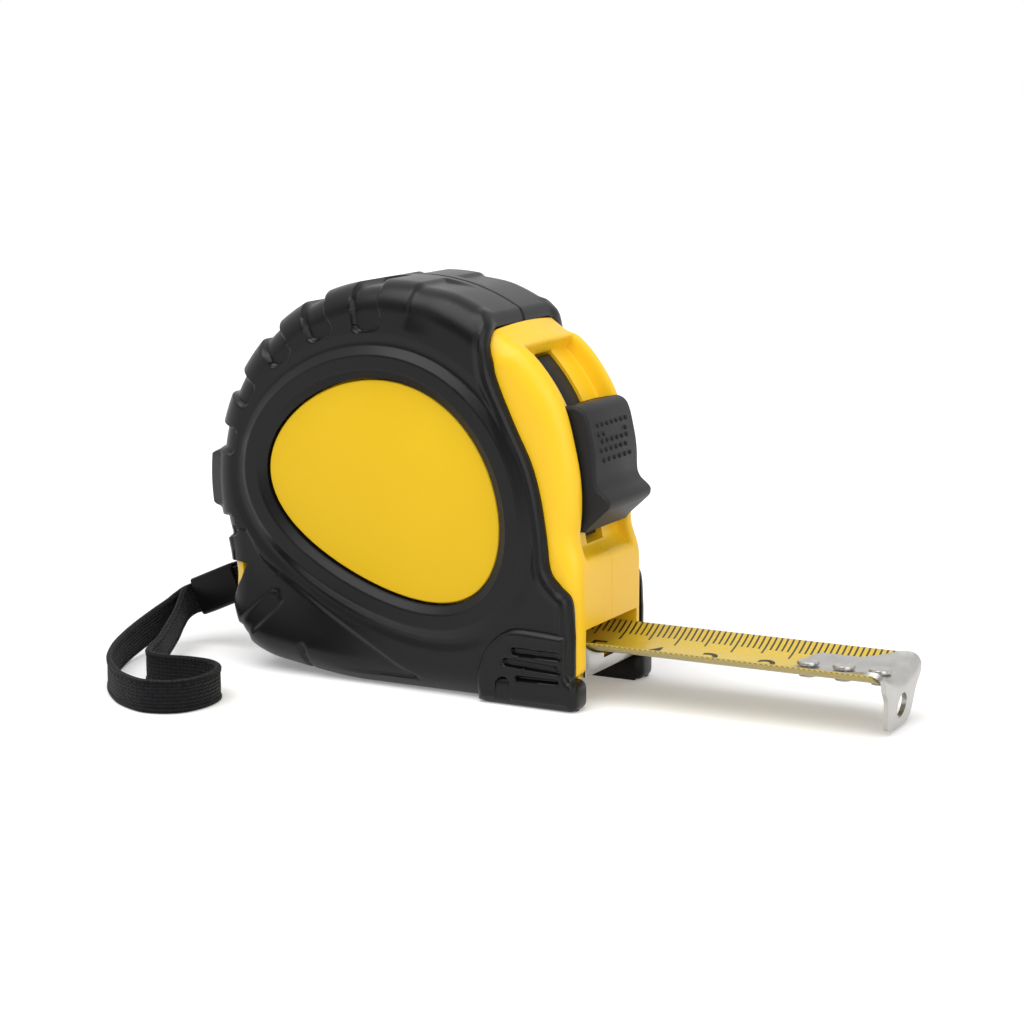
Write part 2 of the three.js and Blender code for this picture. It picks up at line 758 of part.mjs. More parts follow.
function rivetParts() {
  const sag = tongueTopRadius - Math.sqrt(tongueTopRadius ** 2 - rivetHeadRadius ** 2);
  const headBottom = troughCentreZ - tongueTopRadius + sag + slideGap;
  const tailTop = troughCentreZ - bladeBottomRadius - slideGap;
  return rivetXs.map((x, i) => {
    const shank = postUp(x, 0, rivetRadius, tailTop - sliver, headBottom + sliver, smallRoundSteps);
    const head = postUp(x, 0, rivetHeadRadius, headBottom, headBottom + rivetHeadHeight, smallRoundSteps);
    const tail = postUp(x, 0, rivetTailRadius, tailTop - rivetTailHeight, tailTop, smallRoundSteps);
    return meshOf(`rivet_${i + 1}`, join([shank, head, tail]), hookSteel);
  });
}

// The plate under the blade at the mouth, folded down in front and slotted for the rivets
function mouthPlatePart() {
  const front = plateFlangeX + plateThickness;
  const outline = troughOutline(plateTopRadius, plateBottomRadius, plateHalfWidth);
  const topEdge = outline.slice(troughSteps + 1);
  const right = topEdge[0][0];
  const flange = extrudeAlong(
    [[-right, plateFlangeBottom], [right, plateFlangeBottom], ...topEdge], plateFlangeX, front);
  const slot = block(
    0, front + overrun, -plateSlotHalfWidth, plateSlotHalfWidth, plateSlotFloor, troughCentreZ);
  const plate = extrudeAlong(outline, plateStart, front).add(flange).subtract(slot);
  return meshOf('mouth_plate', plate, plateSteel);
}

// Thumb lock

const armOuterRadius = armInnerRadius + armThickness;
const buttonInnerRadius = recessRadius + fitGap;

// Side outline of the button from its back top corner round the thumb rest and the nose,
// as shares of the cover's radius from the drum axis and as angles in degrees
const buttonRadiusShares = [0.975, 1.03, 1.06, 1.047, 1.025, 1.01, 1.005, 1.03, 1.075, 1.1, 1.085, 1.03];
const buttonAngles = [27, 26, 22.5, 17, 12, 8, 5.6, 4, 3.2, 0.8, -2.4, -5.4];
const buttonBackLow = -7.6;

function buttonOutline() {
  const front = buttonRadiusShares.map((share, i) => {
    const angle = radians(buttonAngles[i]);
    const radius = share * coverRadius;
    return [radius * Math.cos(angle), drumAxisHeight + radius * Math.sin(angle)];
  });
  const high = buttonAngles[0];
  const back = arcPoints(
    0, drumAxisHeight, buttonInnerRadius, buttonInnerRadius, buttonBackLow, high, arcStep);
  return [...front, ...back].reverse();
}

function lockParts() {
  const button = extrudeAcross(buttonOutline(), -buttonHalfWidth, buttonHalfWidth);
  const arm = sectorAcross(
    armInnerRadius, armOuterRadius, armLowAngle, armHighAngle, -armHalfWidth, armHalfWidth);
  const neck = sectorAcross(
    armOuterRadius - sliver, buttonInnerRadius - slideGap, neckLowAngle, neckHighAngle,
    fitGap - slotHalfWidth, slotHalfWidth - fitGap);
  const shoeTop = armLowAngle - THREE.MathUtils.radToDeg(fitGap / armInnerRadius);
  const rest = troughHeight + shoeHalfWidth ** 2 / (2 * troughRadius) + fitGap;
  const shoe = sectorAcross(
    armInnerRadius - shoeInset, armOuterRadius, shoeTop - shoeSpan, shoeTop, -shoeHalfWidth, shoeHalfWidth)
    .subtract(block(-overrun, coverRadius, -overrun, overrun, -overrun, rest));
  return [
    meshOf('lock_button', button, lockPlastic),
    meshOf('lock_slider', arm.add(neck), darkPlastic),
    meshOf('brake_shoe', shoe, rubber),
  ];
}

// Wrist strap

// A route whose strip keeps its width as upright as it can
class StandingCurve extends THREE.CatmullRomCurve3 {
  computeFrenetFrames(segments) {
    const frames = { tangents: [], normals: [], binormals: [] };
    const upright = new THREE.Vector3(0, 0, 1);
    for (let i = 0; i <= segments; i += 1) {
      const tangent = this.getTangentAt(i / segments);
      const wide = upright.clone().addScaledVector(tangent, -upright.dot(tangent)).normalize();
      frames.tangents.push(tangent);
      frames.normals.push(wide);
      frames.binormals.push(new THREE.Vector3().crossVectors(tangent, wide));
    }
    return frames;
  }
}

function band(route, steps) {
  const wide = bandWidth / 2;
  const thin = bandThickness / 2;
  const edge = wide - thin / 2;
  const section = [
    [wide, -thin / 2], [wide, thin / 2], [edge, thin], [-edge, thin],
    [-wide, thin / 2], [-wide, -thin / 2], [-edge, -thin], [edge, -thin],
  ];
  const curve = new StandingCurve(route.map(([x, y, z]) => new THREE.Vector3(x, y, z)));
  const geometry = new THREE.ExtrudeGeometry(shapeOf(section), {
    steps, bevelEnabled: false, extrudePath: curve,
  });
  return solidOf(geometry);
}

// Points along the sleeve's axis, beside it by one layer of the band
function inSleeve(share, side) {
  const tilt = radians(sleeveTilt);
  const along = share * sleeveLength;
  return [sleeveCentreX + along * Math.cos(tilt), side * bandLayer, sleeveCentreZ - along * Math.sin(tilt)];
}

// Free loop of the strap, chosen by hand: out of the sleeve, down to the floor, round and back
const strapRoute = [
  [-46.3, 0.75, 8.32], [-47.7, 0.3, 7.8], [-48.8, -0.8, 7.2], [-49.3, -2.3, 6.6], [-49.6, -4.5, 5.8],
  [-49.9, -8, 4.9], [-49.5, -14, 3.8], [-48.1, -20.5, 3], [-44.9, -28, 2.8], [-40.3, -35.5, 2.8],
  [-36.1, -40.2, 2.8], [-31.7, -43.6, 2.8], [-25.9, -45.6, 2.8], [-21.3, -43.6, 2.8],
  [-19.5, -38.6, 2.8], [-20.5, -33, 2.8], [-24.1, -29.6, 2.8], [-28.7, -29.2, 2.8],
  [-33.1, -30, 2.8], [-36.9, -29, 2.8], [-39.1, -25.6, 2.8], [-41.1, -20, 3], [-43.6, -14, 3.8],
  [-45.7, -8.5, 4.9], [-47.1, -4.9, 6.1], [-47.6, -2.6, 7.2], [-47.2, -1.2, 7.9], [-46.3, -0.75, 8.32],
];
const leadKneeX = -32.5;
const leadKneeY = 1.05;
const leadKneeZ = 13.75;
const sleeveJointShare = 0.02;
const sleeveEndShare = 0.46;

function strapParts() {
  const pin = postUp(strapPinX, 0, strapPinRadius, strapPinBottom, strapPinTop, rodSteps);
  const wrap = strapPinRadius + fitGap + bandThickness / 2 - sliver;
  const around = arcPoints(strapPinX, 0, wrap, wrap, 90, -90, arcStep * 6)
    .map(([x, y]) => [x, y, strapHeight]);
  const lead = band([
    inSleeve(sleeveJointShare, 1), inSleeve(sleeveEndShare, 1),
    [leadKneeX, leadKneeY, leadKneeZ],
    ...around,
    [leadKneeX, -leadKneeY, leadKneeZ],
    inSleeve(sleeveEndShare, -1), inSleeve(sleeveJointShare, -1),
  ], leadSteps);
  const loop = band([
    inSleeve(-sleeveJointShare, 1), inSleeve(-sleeveEndShare, 1),
    ...strapRoute,
    inSleeve(-sleeveEndShare, -1), inSleeve(-sleeveJointShare, -1),
  ], strapSteps);
  const half = sleeveLength / 2;
  const tube = block(-half, half, -sleeveHalfDepth, sleeveHalfDepth, -sleeveHeight / 2, sleeveHeight / 2)
    .subtract(block(
      -half - overrun, half + overrun, -sleeveOpeningHalfDepth, sleeveOpeningHalfDepth,
      -sleeveOpeningHeight / 2, sleeveOpeningHeight / 2));
  const sleeve = meshOf('strap_sleeve', tube, darkPlastic);
  sleeve.rotation.y = radians(sleeveTilt);
  sleeve.position.set(sleeveCentreX, 0, sleeveCentreZ);
  return [
    meshOf('strap_pin', pin, hookSteel),
    meshOf('strap_lead', lead, webbing),
    sleeve,
    meshOf('wrist_strap', loop, webbing),
  ];
}

// The whole tape, moved along X so that the middle of its length is at X = 0

const tape = new THREE.Group();
const pieces = [
  ...caseParts(), ...coverParts(), ...panelParts(), ...screwParts(), ...drumParts(), springPart(),
  bladePart(), hookPart(), ...rivetParts(), mouthPlatePart(), ...lockParts(),
  ...strapParts(),
];
pieces.forEach((piece) => tape.add(piece));
const rearEnd = -(coverRadius + rearLugRise);
const frontEnd = hookFaceX + hookThickness;
tape.position.x = -(rearEnd + frontEnd) / 2;

export default tape;
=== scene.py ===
# %% [markdown]
# # A pocket measuring tape
# The tape stands on a white table with its blade pulled out a little and its wrist strap lying beside it.
# This lesson dresses the CAD model, piece by piece, with shapes and finishes that a camera would see.
# The CAD model is loaded first and stays fixed, so every new piece is placed by the same sizes as the CAD.

# %% Load the CAD frame
import math
import bpy
import bmesh
import numpy as np
from mathutils import Matrix, Vector


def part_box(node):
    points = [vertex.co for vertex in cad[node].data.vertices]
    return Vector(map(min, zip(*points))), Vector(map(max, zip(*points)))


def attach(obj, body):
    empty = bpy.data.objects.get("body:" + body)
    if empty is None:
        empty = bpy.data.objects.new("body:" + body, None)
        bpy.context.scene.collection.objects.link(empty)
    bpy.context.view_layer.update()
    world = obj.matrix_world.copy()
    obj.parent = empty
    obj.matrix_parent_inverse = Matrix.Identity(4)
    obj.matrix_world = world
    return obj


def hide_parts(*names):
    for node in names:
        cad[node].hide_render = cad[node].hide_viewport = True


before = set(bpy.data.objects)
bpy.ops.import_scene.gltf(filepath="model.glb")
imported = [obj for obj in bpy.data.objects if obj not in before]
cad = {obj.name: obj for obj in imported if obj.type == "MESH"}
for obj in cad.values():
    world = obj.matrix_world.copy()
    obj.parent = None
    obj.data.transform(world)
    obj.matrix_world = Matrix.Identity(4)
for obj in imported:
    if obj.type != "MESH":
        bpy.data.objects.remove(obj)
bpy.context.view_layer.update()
print("CAD nodes:", len(cad))

# %% [markdown]
# Sizes are easier to think about in millimetres, measured from the drum's axis, so the pieces are shaped there.
# One matrix then takes a finished mesh to metres and to its place in the frame.

# %% Millimetres from the drum axis
drum_low, drum_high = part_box("drum")
AXIS_X = (drum_low.x + drum_high.x) / 2
AXIS_Z = 33.0
TO_FRAME = Matrix.Translation((AXIS_X, 0, 0)) @ Matrix.Scale(0.001, 4)
print("drum axis at x", round(AXIS_X * 1000, 2), "mm")

# %% [markdown]
# ## Camera
# The photograph looks at the tape's left side and a little at its front, from just above.
# The lens is a long one, so the case hardly tapers. The blade's millimetre marks gave the distance.

# %% Camera
AZIMUTH, ELEVATION, DISTANCE = math.radians(27.78), math.radians(10.44), 0.45
AIM = TO_FRAME @ Vector((16.09, 0, 28.81))
towards_camera = Vector((math.sin(AZIMUTH) * math.cos(ELEVATION),
                         -math.cos(AZIMUTH) * math.cos(ELEVATION), math.sin(ELEVATION)))
camera_data = bpy.data.cameras.new("camera")
camera_data.sensor_width = 36
camera_data.lens = 95.7
camera_data.clip_start, camera_data.clip_end = 0.01, 20
camera = bpy.data.objects.new("camera", camera_data)
bpy.context.scene.collection.objects.link(camera)
camera.location = AIM + towards_camera * DISTANCE
camera.rotation_euler = (-towards_camera).to_track_quat("-Z", "Y").to_euler()
bpy.context.scene.camera = camera
print("camera at", [round(v, 3) for v in camera.location])

# %% [markdown]
# ## Helpers for shapes
# Moulded parts have few flat faces. Such a skin is made from a flat grid, bmesh's own create_grid,
# whose points are then laid on the wanted surface. The grid keeps its even squares, so the skin shades smoothly.

# %% Lay a grid on a surface
def laid_grid(points, uv=None):
    """A grid with a vertex at every one of the points, given as rows and columns of x, y, z."""
    rows, columns = points.shape[0] - 1, points.shape[1] - 1
    bm = bmesh.new()
    bmesh.ops.create_grid(bm, x_segments=columns, y_segments=rows, size=1)
    layer = bm.loops.layers.uv.new("UVMap") if uv is not None else None
    place = {}
    for vert in bm.verts:
        column = round((vert.co.x + 1) / 2 * columns)
        row = round((vert.co.y + 1) / 2 * rows)
        place[vert] = (row, column)
    for vert, (row, column) in place.items():
        vert.co = points[row, column]
    if layer:
        for face in bm.faces:
            for loop in face.loops:
                row, column = place[loop.vert]
                loop[layer].uv = uv[row, column]
    return bm


# %% [markdown]
# A grid that comes back to itself is closed by merging its first and last rows or columns. Open ends are
# filled, and the normals are then turned outwards. Last, the mesh moves to its place and rides on a CAD body.

# %% Close a shape and put it in the scene
def closed(bm, fill=True):
    bmesh.ops.remove_doubles(bm, verts=bm.verts, dist=0.001)
    if fill:
        bmesh.ops.holes_fill(bm, edges=[edge for edge in bm.edges if edge.is_boundary], sides=0)
    bmesh.ops.recalc_face_normals(bm, faces=bm.faces)
    return bm


def add_mesh(bm, other):
    """Adds another bmesh to this one and frees it."""
    mesh = bpy.data.meshes.new("part")
    other.to_mesh(mesh)
    other.free()
    bm.from_mesh(mesh)
    bpy.data.meshes.remove(mesh)


def add_piece(bm, name, material, body, replaces=(), crease=40, local=True):
    """Makes the mesh an object of the scene. Edges sharper than the crease angle stay sharp."""
    if local:
        bmesh.ops.transform(bm, matrix=TO_FRAME, verts=bm.verts)
    mesh = bpy.data.meshes.new(name)
    bm.to_mesh(mesh)
    bm.free()
    mesh.polygons.foreach_set("use_smooth", [True] * len(mesh.polygons))
    if crease:
        mesh.set_sharp_from_angle(angle=math.radians(crease))
    mesh.materials.append(material)
    piece = bpy.data.objects.new(name, mesh)
    bpy.context.scene.collection.objects.link(piece)
    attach(piece, body)
    if replaces:
        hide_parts(*replaces)
    triangles = sum(len(polygon.vertices) - 2 for polygon in mesh.polygons)
    print(f"{name}: {triangles} triangles")
    return piece


# %% [markdown]
# Some outlines are known by a few points. A curve through them, with the same rule as the CAD's curves,
# gives as many points as the shape needs.

# %% Curve through points
def slope_at(before, here, after, gap_before, gap_after):
    """The slope of a curve at its middle one of three points."""
    return ((here - before) / gap_before - (after - before) / (gap_before + gap_after)
            + (after - here) / gap_after)


def curve_through(points, steps=12, even=0.5):
    """Points on a Catmull-Rom curve. even is 0.5 for evenly tense curves and 0 for plain ones."""
    p = np.array(points, float)
    p = np.vstack([2 * p[0] - p[1], p, 2 * p[-1] - p[-2]])
    line = []
    for i in range(1, len(p) - 2):
        gaps = [max(np.linalg.norm(p[j + 1] - p[j]), 1e-6) ** even for j in (i - 1, i, i + 1)]
        m1 = slope_at(p[i - 1], p[i], p[i + 1], gaps[0], gaps[1]) * gaps[1]
        m2 = slope_at(p[i], p[i + 1], p[i + 2], gaps[1], gaps[2]) * gaps[1]
        for t in np.arange(steps) / steps:
            line.append((2 * t**3 - 3 * t**2 + 1) * p[i] + (t**3 - 2 * t**2 + t) * m1
                        + (3 * t**2 - 2 * t**3) * p[i + 1] + (t**3 - t**2) * m2)
    return np.array(line + [p[-2]])


def evenly(line, count):
    """The same line with its points at even distances."""
    run = np.concatenate([[0], np.cumsum(np.linalg.norm(np.diff(line, axis=0), axis=1))])
    at = np.linspace(0, run[-1], count)
    return np.column_stack([np.interp(at, run, line[:, k]) for k in range(line.shape[1])])


# %% [markdown]
# ## Helpers for finishes
# Colours are written as sRGB hex values, as a paint chart gives them, and one function turns them to the
# linear numbers that Blender works with. The scale of a noise says how many spots fit in a metre, so another
# small function works it out from the width of one spot in millimetres.

# %% Colours and nodes
def colour(code):
    parts = [int(code[i:i + 2], 16) / 255 for i in (1, 3, 5)]
    return tuple(v / 12.92 if v <= 0.04045 else ((v + 0.055) / 1.055) ** 2.4 for v in parts) + (1.0,)


def spot_scale(width, unit=1000):
    """The scale of a noise, to two digits, whose spots are about this wide. unit is one coordinate in mm."""
    return float(f"{unit / width:.2g}")


def add_node(tree, kind, settings=None, inputs=None):
    """Adds one node. An input's value is a number, a colour, or the socket that feeds it."""
    node = tree.nodes.new(kind)
    for name, value in (settings or {}).items():
        setattr(node, name, value)
    for name, value in (inputs or {}).items():
        if isinstance(value, bpy.types.NodeSocket):
            tree.links.new(value, node.inputs[name])
        else:
            node.inputs[name].default_value = value
    return node


SOCKETS = {"specular": "Specular IOR Level", "coat": "Coat Weight", "coat_roughness": "Coat Roughness",
           "sheen": "Sheen Weight", "sheen_roughness": "Sheen Roughness"}


def new_finish(name, **values):
    """A material with one shader, whose plain values are set on its own sockets."""
    material = bpy.data.materials.new(name)
    material.use_nodes = True
    shader = material.node_tree.nodes["Principled BSDF"]
    for key, value in values.items():
        shader.inputs[SOCKETS.get(key, key.capitalize())].default_value = value
    print("finish", name)
    return material, material.node_tree, shader


def link_finish(tree, shader, tint, rough=None, bump=None):
    """Joins a finish's last nodes to its shader."""
    tree.links.new(tint.outputs[2], shader.inputs["Base Color"])
    if rough:
        tree.links.new(rough.outputs[0], shader.inputs["Roughness"])
    if bump:
        tree.links.new(bump.outputs[0], shader.inputs["Normal"])


# %% [markdown]
# The plastics here are all injection-moulded against a lightly etched tool. That leaves a fine grain, and over
# some millimetres faint clouds where the melt cooled faster or slower. The clouds vary the colour and the
# roughness a little, and the grain is a shallow bump. Real etching is about 0.1 mm wide, and it is drawn at 0.3
# to 0.4 mm so that it still shows. One function makes such a finish from its own sizes and colours.

# %% Moulded plastic
def moulded_plastic(name, roughness, specular, grain, clouds, colours, rough_range, relief):
    """grain and clouds: width of a spot in mm and detail. relief: strength of the bump and its height in mm."""
    plastic, tree, shader = new_finish(name, roughness=roughness, specular=specular)
    where = add_node(tree, "ShaderNodeTexCoord")
    etching = add_node(tree, "ShaderNodeTexNoise", None, {
        "Vector": where.outputs["Object"], "Scale": spot_scale(grain[0]), "Detail": grain[1]})
    cloud = add_node(tree, "ShaderNodeTexNoise", None, {
        "Vector": where.outputs["Object"], "Scale": spot_scale(clouds[0]), "Detail": clouds[1]})
    tint = add_node(tree, "ShaderNodeMix", {"data_type": "RGBA"},
                    {0: cloud.outputs[0], 6: colour(colours[0]), 7: colour(colours[1])})
    rough = add_node(tree, "ShaderNodeMapRange", None,
                     {"Value": cloud.outputs[0], "To Min": rough_range[0], "To Max": rough_range[1]})
    bump = add_node(tree, "ShaderNodeBump", None,
                    {"Strength": relief[0], "Distance": relief[1] / 1000, "Height": etching.outputs[0]})
    link_finish(tree, shader, tint, rough, bump)
    return plastic


# %% [markdown]
# ## Wrist strap
# The strap is a flat woven band of black polyester, 5.4 mm wide, whose whole loop shows in the photograph.
# It comes out of a small sleeve, bends down to the table, runs round in a loop that stands on its edge and
# comes back into the sleeve. A flat band twists little, so its wide side stays as upright as the run allows.
# The route's points are the CAD's own, so the band lies where its solid does.

# %% Route of the strap
BAND_WIDTH, BAND_THICKNESS, BAND_LAYER = 5.4, 0.9, 0.75
SLEEVE_X, SLEEVE_Z, SLEEVE_LENGTH = -41.7, 10.35, 9.2
SLEEVE_TILT = math.radians(23.8)


def in_sleeve(share, side):
    """A point in the sleeve, at a share of its length from its middle. side picks the band's layer."""
    return [SLEEVE_X + share * SLEEVE_LENGTH * math.cos(SLEEVE_TILT), side * BAND_LAYER,
            SLEEVE_Z + share * SLEEVE_LENGTH * math.sin(SLEEVE_TILT)]


loop_points = [
    in_sleeve(-0.02, 1), in_sleeve(-0.46, 1),
    [-46.3, 0.75, 8.32], [-47.7, 0.3, 7.8], [-48.8, -0.8, 7.2], [-49.3, -2.3, 6.6], [-49.6, -4.5, 5.8],
    [-49.9, -8, 4.9], [-49.5, -14, 3.8], [-48.1, -20.5, 3], [-44.9, -28, 2.8], [-40.3, -35.5, 2.8],
    [-36.1, -40.2, 2.8], [-31.7, -43.6, 2.8], [-25.9, -45.6, 2.8], [-21.3, -43.6, 2.8],
    [-19.5, -38.6, 2.8], [-20.5, -33, 2.8], [-24.1, -29.6, 2.8], [-28.7, -29.2, 2.8],
    [-33.1, -30, 2.8], [-36.9, -29, 2.8], [-39.1, -25.6, 2.8], [-41.1, -20, 3], [-43.6, -14, 3.8],
    [-45.7, -8.5, 4.9], [-47.1, -4.9, 6.1], [-47.6, -2.6, 7.2], [-47.2, -1.2, 7.9], [-46.3, -0.75, 8.32],
    in_sleeve(-0.46, -1), in_sleeve(-0.02, -1)]
loop_line = curve_through(loop_points)

# %% [markdown]
# The lead is the same band. It is threaded round a steel pin inside the case, so two layers of it come out
# of the notch at the rear and end in the sleeve.

# %% Route of the lead
PIN_X, PIN_WRAP, STRAP_HEIGHT = -27.2, 1.7, 14.2
wrap_round = [[PIN_X + PIN_WRAP * math.cos(a), PIN_WRAP * math.sin(a), STRAP_HEIGHT]
              for a in np.radians(np.arange(90, -91, -36))]
lead_points = [in_sleeve(0.02, 1), in_sleeve(0.46, 1), [-32.5, 1.05, 13.75], *wrap_round,
               [-32.5, -1.05, 13.75], in_sleeve(0.46, -1), in_sleeve(0.02, -1)]
lead_line = curve_through(lead_points)
print("lead,", len(lead_line), "points along its route")

# %% [markdown]
# Both are made the same way: a thin rounded section, with a slightly thicker sewn edge, is set square to the
# route at every step. A UV map in millimetres runs along the band and round its section, for the weave.

# %% Woven band along a route
def woven_band(line, count):
    centre = evenly(line, count)
    tangent = np.gradient(centre, axis=0)
    tangent /= np.linalg.norm(tangent, axis=1)[:, None]
    wide = np.array([0, 0, 1]) - tangent * tangent[:, 2:3]
    wide /= np.linalg.norm(wide, axis=1)[:, None]
    thin = np.cross(tangent, wide)
    half, deep = BAND_WIDTH / 2, BAND_THICKNESS / 2
    side = [(-1, 0.55), (-0.965, 1.0), (-0.9, 1.2), (-0.8, 1.14), (-0.72, 0.8), (-0.3, 0.86), (0.3, 0.86),
            (0.72, 0.8), (0.8, 1.14), (0.9, 1.2), (0.965, 1.0), (1, 0.55)]
    section = side + [(w, -t) for w, t in reversed(side)]
    section.append(section[0])
    across = np.array([[w * half, t * deep] for w, t in section])
    girth = np.concatenate([[0], np.cumsum(np.linalg.norm(np.diff(across, axis=0), axis=1))])
    run = np.linspace(0, np.linalg.norm(np.diff(centre, axis=0), axis=1).sum(), count)
    points = centre[:, None] + across[None, :, :1] * wide[:, None] + across[None, :, 1:] * thin[:, None]
    uv = np.stack(np.meshgrid(run, girth, indexing="ij"), axis=-1)
    return closed(laid_grid(points, uv))


# %% [markdown]
# Black webbing is a plain weave of fine twisted yarns. Each of them catches a little light on its crown and the
# holes between them stay dark. That light and shade are painted into the colour, a painted highlight on the
# crowns and painted shade in the holes, so the band looks deep black with a soft grey grain. Real yarns here are
# about 0.4 mm apart, and they are drawn 0.6 and 0.75 mm apart so that they still show. The fluff on them comes in
# tufts of about 0.8 mm and adds random tone. The UV map is in millimetres, so these sizes go straight into the
# pattern.

# %% Webbing finish
ALONG_SPACING, ACROSS_SPACING, TUFT = 0.75, 0.6, 0.77
webbing, tree, shader = new_finish("woven_polyester_webbing", roughness=0.8, specular=0.15, sheen=0.06,
                                   sheen_roughness=0.4)
where = add_node(tree, "ShaderNodeUVMap", {"uv_map": "UVMap"})
flow = add_node(tree, "ShaderNodeSeparateXYZ", None, {0: where.outputs[0]})
along = add_node(tree, "ShaderNodeMath", {"operation": "MULTIPLY"},
                 {0: flow.outputs[0], 1: 2 * math.pi / ALONG_SPACING})
across = add_node(tree, "ShaderNodeMath", {"operation": "MULTIPLY"},
                  {0: flow.outputs[1], 1: 2 * math.pi / ACROSS_SPACING})
warp = add_node(tree, "ShaderNodeMath", {"operation": "SINE"}, {0: along.outputs[0]})
weft = add_node(tree, "ShaderNodeMath", {"operation": "SINE"}, {0: across.outputs[0]})
weave = add_node(tree, "ShaderNodeMath", {"operation": "MULTIPLY"}, {0: warp.outputs[0], 1: weft.outputs[0]})
fluff = add_node(tree, "ShaderNodeTexNoise", None, {"Vector": where.outputs[0], "Scale": spot_scale(TUFT, 1),
                                                    "Detail": 5})
ribs = add_node(tree, "ShaderNodeMath", {"operation": "MULTIPLY"}, {0: weft.outputs[0], 1: 0.5})
woven = add_node(tree, "ShaderNodeMath", {"operation": "MULTIPLY_ADD"},
                 {0: weave.outputs[0], 1: 0.35, 2: ribs.outputs[0]})
crowns = add_node(tree, "ShaderNodeMath", {"operation": "MULTIPLY_ADD"},
                  {0: fluff.outputs[0], 1: 1.6, 2: woven.outputs[0]})
# Painted light: the colour is lighter on the crowns, a painted highlight, and darker in the holes, painted shade,
# with the fluff's random tone on top.
painted_crown_light = add_node(tree, "ShaderNodeMapRange", None, {"Value": crowns.outputs[0], "From Min": 0.1, "From Max": 1.9})
yarn_and_painted_light = add_node(tree, "ShaderNodeMix", {"data_type": "RGBA"},
                {0: painted_crown_light.outputs[0], 6: colour("#020203"), 7: colour("#1f1f22")})
bump = add_node(tree, "ShaderNodeBump", None, {"Strength": 0.8, "Distance": 0.00025, "Height": crowns.outputs[0]})
link_finish(tree, shader, yarn_and_painted_light, bump=bump)

# %% [markdown]
# A stitch is a short thick thread that dips into the band at both ends. A row of small flat beads along the
# upper edge, on both faces, is cheap and shows well against the weave. It is part of the strap's own mesh.

# %% Add a row of stitches to a band
STITCH_SPACING = 1.5
STITCH_LINE = 0.72 * BAND_WIDTH / 2


def add_stitches(bm, line):
    total = np.linalg.norm(np.diff(line, axis=0), axis=1).sum()
    centre = evenly(line, int(total / STITCH_SPACING) + 1)
    tangent = np.gradient(centre, axis=0)
    tangent /= np.linalg.norm(tangent, axis=1)[:, None]
    for place, ahead in zip(centre[2:-2], tangent[2:-2]):
        wide = np.array([0, 0, 1]) - ahead * ahead[2]
        wide /= np.linalg.norm(wide)
        thin = np.cross(ahead, wide)
        for side in (1, -1):
            spot = place + wide * STITCH_LINE + thin * side * BAND_THICKNESS * 0.43
            turn = Matrix((ahead, wide, thin)).transposed().to_4x4()
            size = Matrix.Diagonal((STITCH_SPACING * 0.36, 0.17, 0.13, 1))
            bmesh.ops.create_icosphere(bm, subdivisions=1, radius=1,
                                       matrix=Matrix.Translation(spot) @ turn @ size)


# %% [markdown]
# The loop gets its row of stitches. The lead is too short to need one.

# %% Strap and lead
strap_mesh = woven_band(loop_line, 300)
add_stitches(strap_mesh, loop_line)
wrist_strap = add_piece(strap_mesh, "woven_wrist_strap", webbing, "case", ["wrist_strap"], 60)
lead_mesh = woven_band(lead_line, 90)
strap_lead = add_piece(lead_mesh, "woven_strap_lead", webbing, "case", ["strap_lead"], 60)

# %% [markdown]
# The sleeve is a short tube of black acetal that pinches the two layers together. Acetal is slippery and looks
# satin black. The tube could be a box with a hole cut in it. Here it is one grid of rounded rings that runs over
# the outside and back through the opening, which rounds its mouth as well.

# %% Satin black plastic
black_satin = moulded_plastic(
    "moulded_black_acetal", roughness=0.36, specular=0.15, grain=(0.4, 3), clouds=(3.85, 2),
    colours=("#070708", "#101012"), rough_range=(0.3, 0.46), relief=(0.25, 0.02))

# %% [markdown]
# The tube's section is a rounded rectangle, one for its outside and a smaller one for its opening. Each ring of
# the grid is one of the two, at its own place along the tube. The finished tube is tilted as the strap hangs.

# %% Sleeve
def rounded_loop(half_x, half_z, radius, steps=5):
    """A rounded rectangle round the origin, as x, z points."""
    loop = []
    for k, (sx, sz) in enumerate(((1, 1), (-1, 1), (-1, -1), (1, -1))):
        for a in np.radians(np.linspace(90 * k, 90 * k + 90, steps)):
            loop.append([sx * (half_x - radius) + radius * math.cos(a),
                         sz * (half_z - radius) + radius * math.sin(a)])
    return np.array(loop + loop[:1])


outside, opening = rounded_loop(2.0, 3.4, 0.55), rounded_loop(1.5, 2.95, 0.3)
end = SLEEVE_LENGTH / 2
rings = [(opening, -end + 0.35), (opening, -end + 0.1), (outside * 0.93, -end), (outside * 0.985, -end + 0.12),
         (outside, -end + 0.35), (outside, end - 0.35), (outside * 0.985, end - 0.12), (outside * 0.93, end),
         (opening, end - 0.1), (opening, end - 0.35), (opening, 0), (opening, -end + 0.35)]
sleeve_mesh = closed(laid_grid(np.array([[[at, y, z] for y, z in ring] for ring, at in rings])))
turn = Matrix.Translation((SLEEVE_X, 0, SLEEVE_Z)) @ Matrix.Rotation(-SLEEVE_TILT, 4, "Y")
bmesh.ops.transform(sleeve_mesh, matrix=turn, verts=sleeve_mesh.verts)
strap_sleeve = add_piece(sleeve_mesh, "strap_sleeve_tube", black_satin, "case",
                         ["strap_sleeve"], 35)
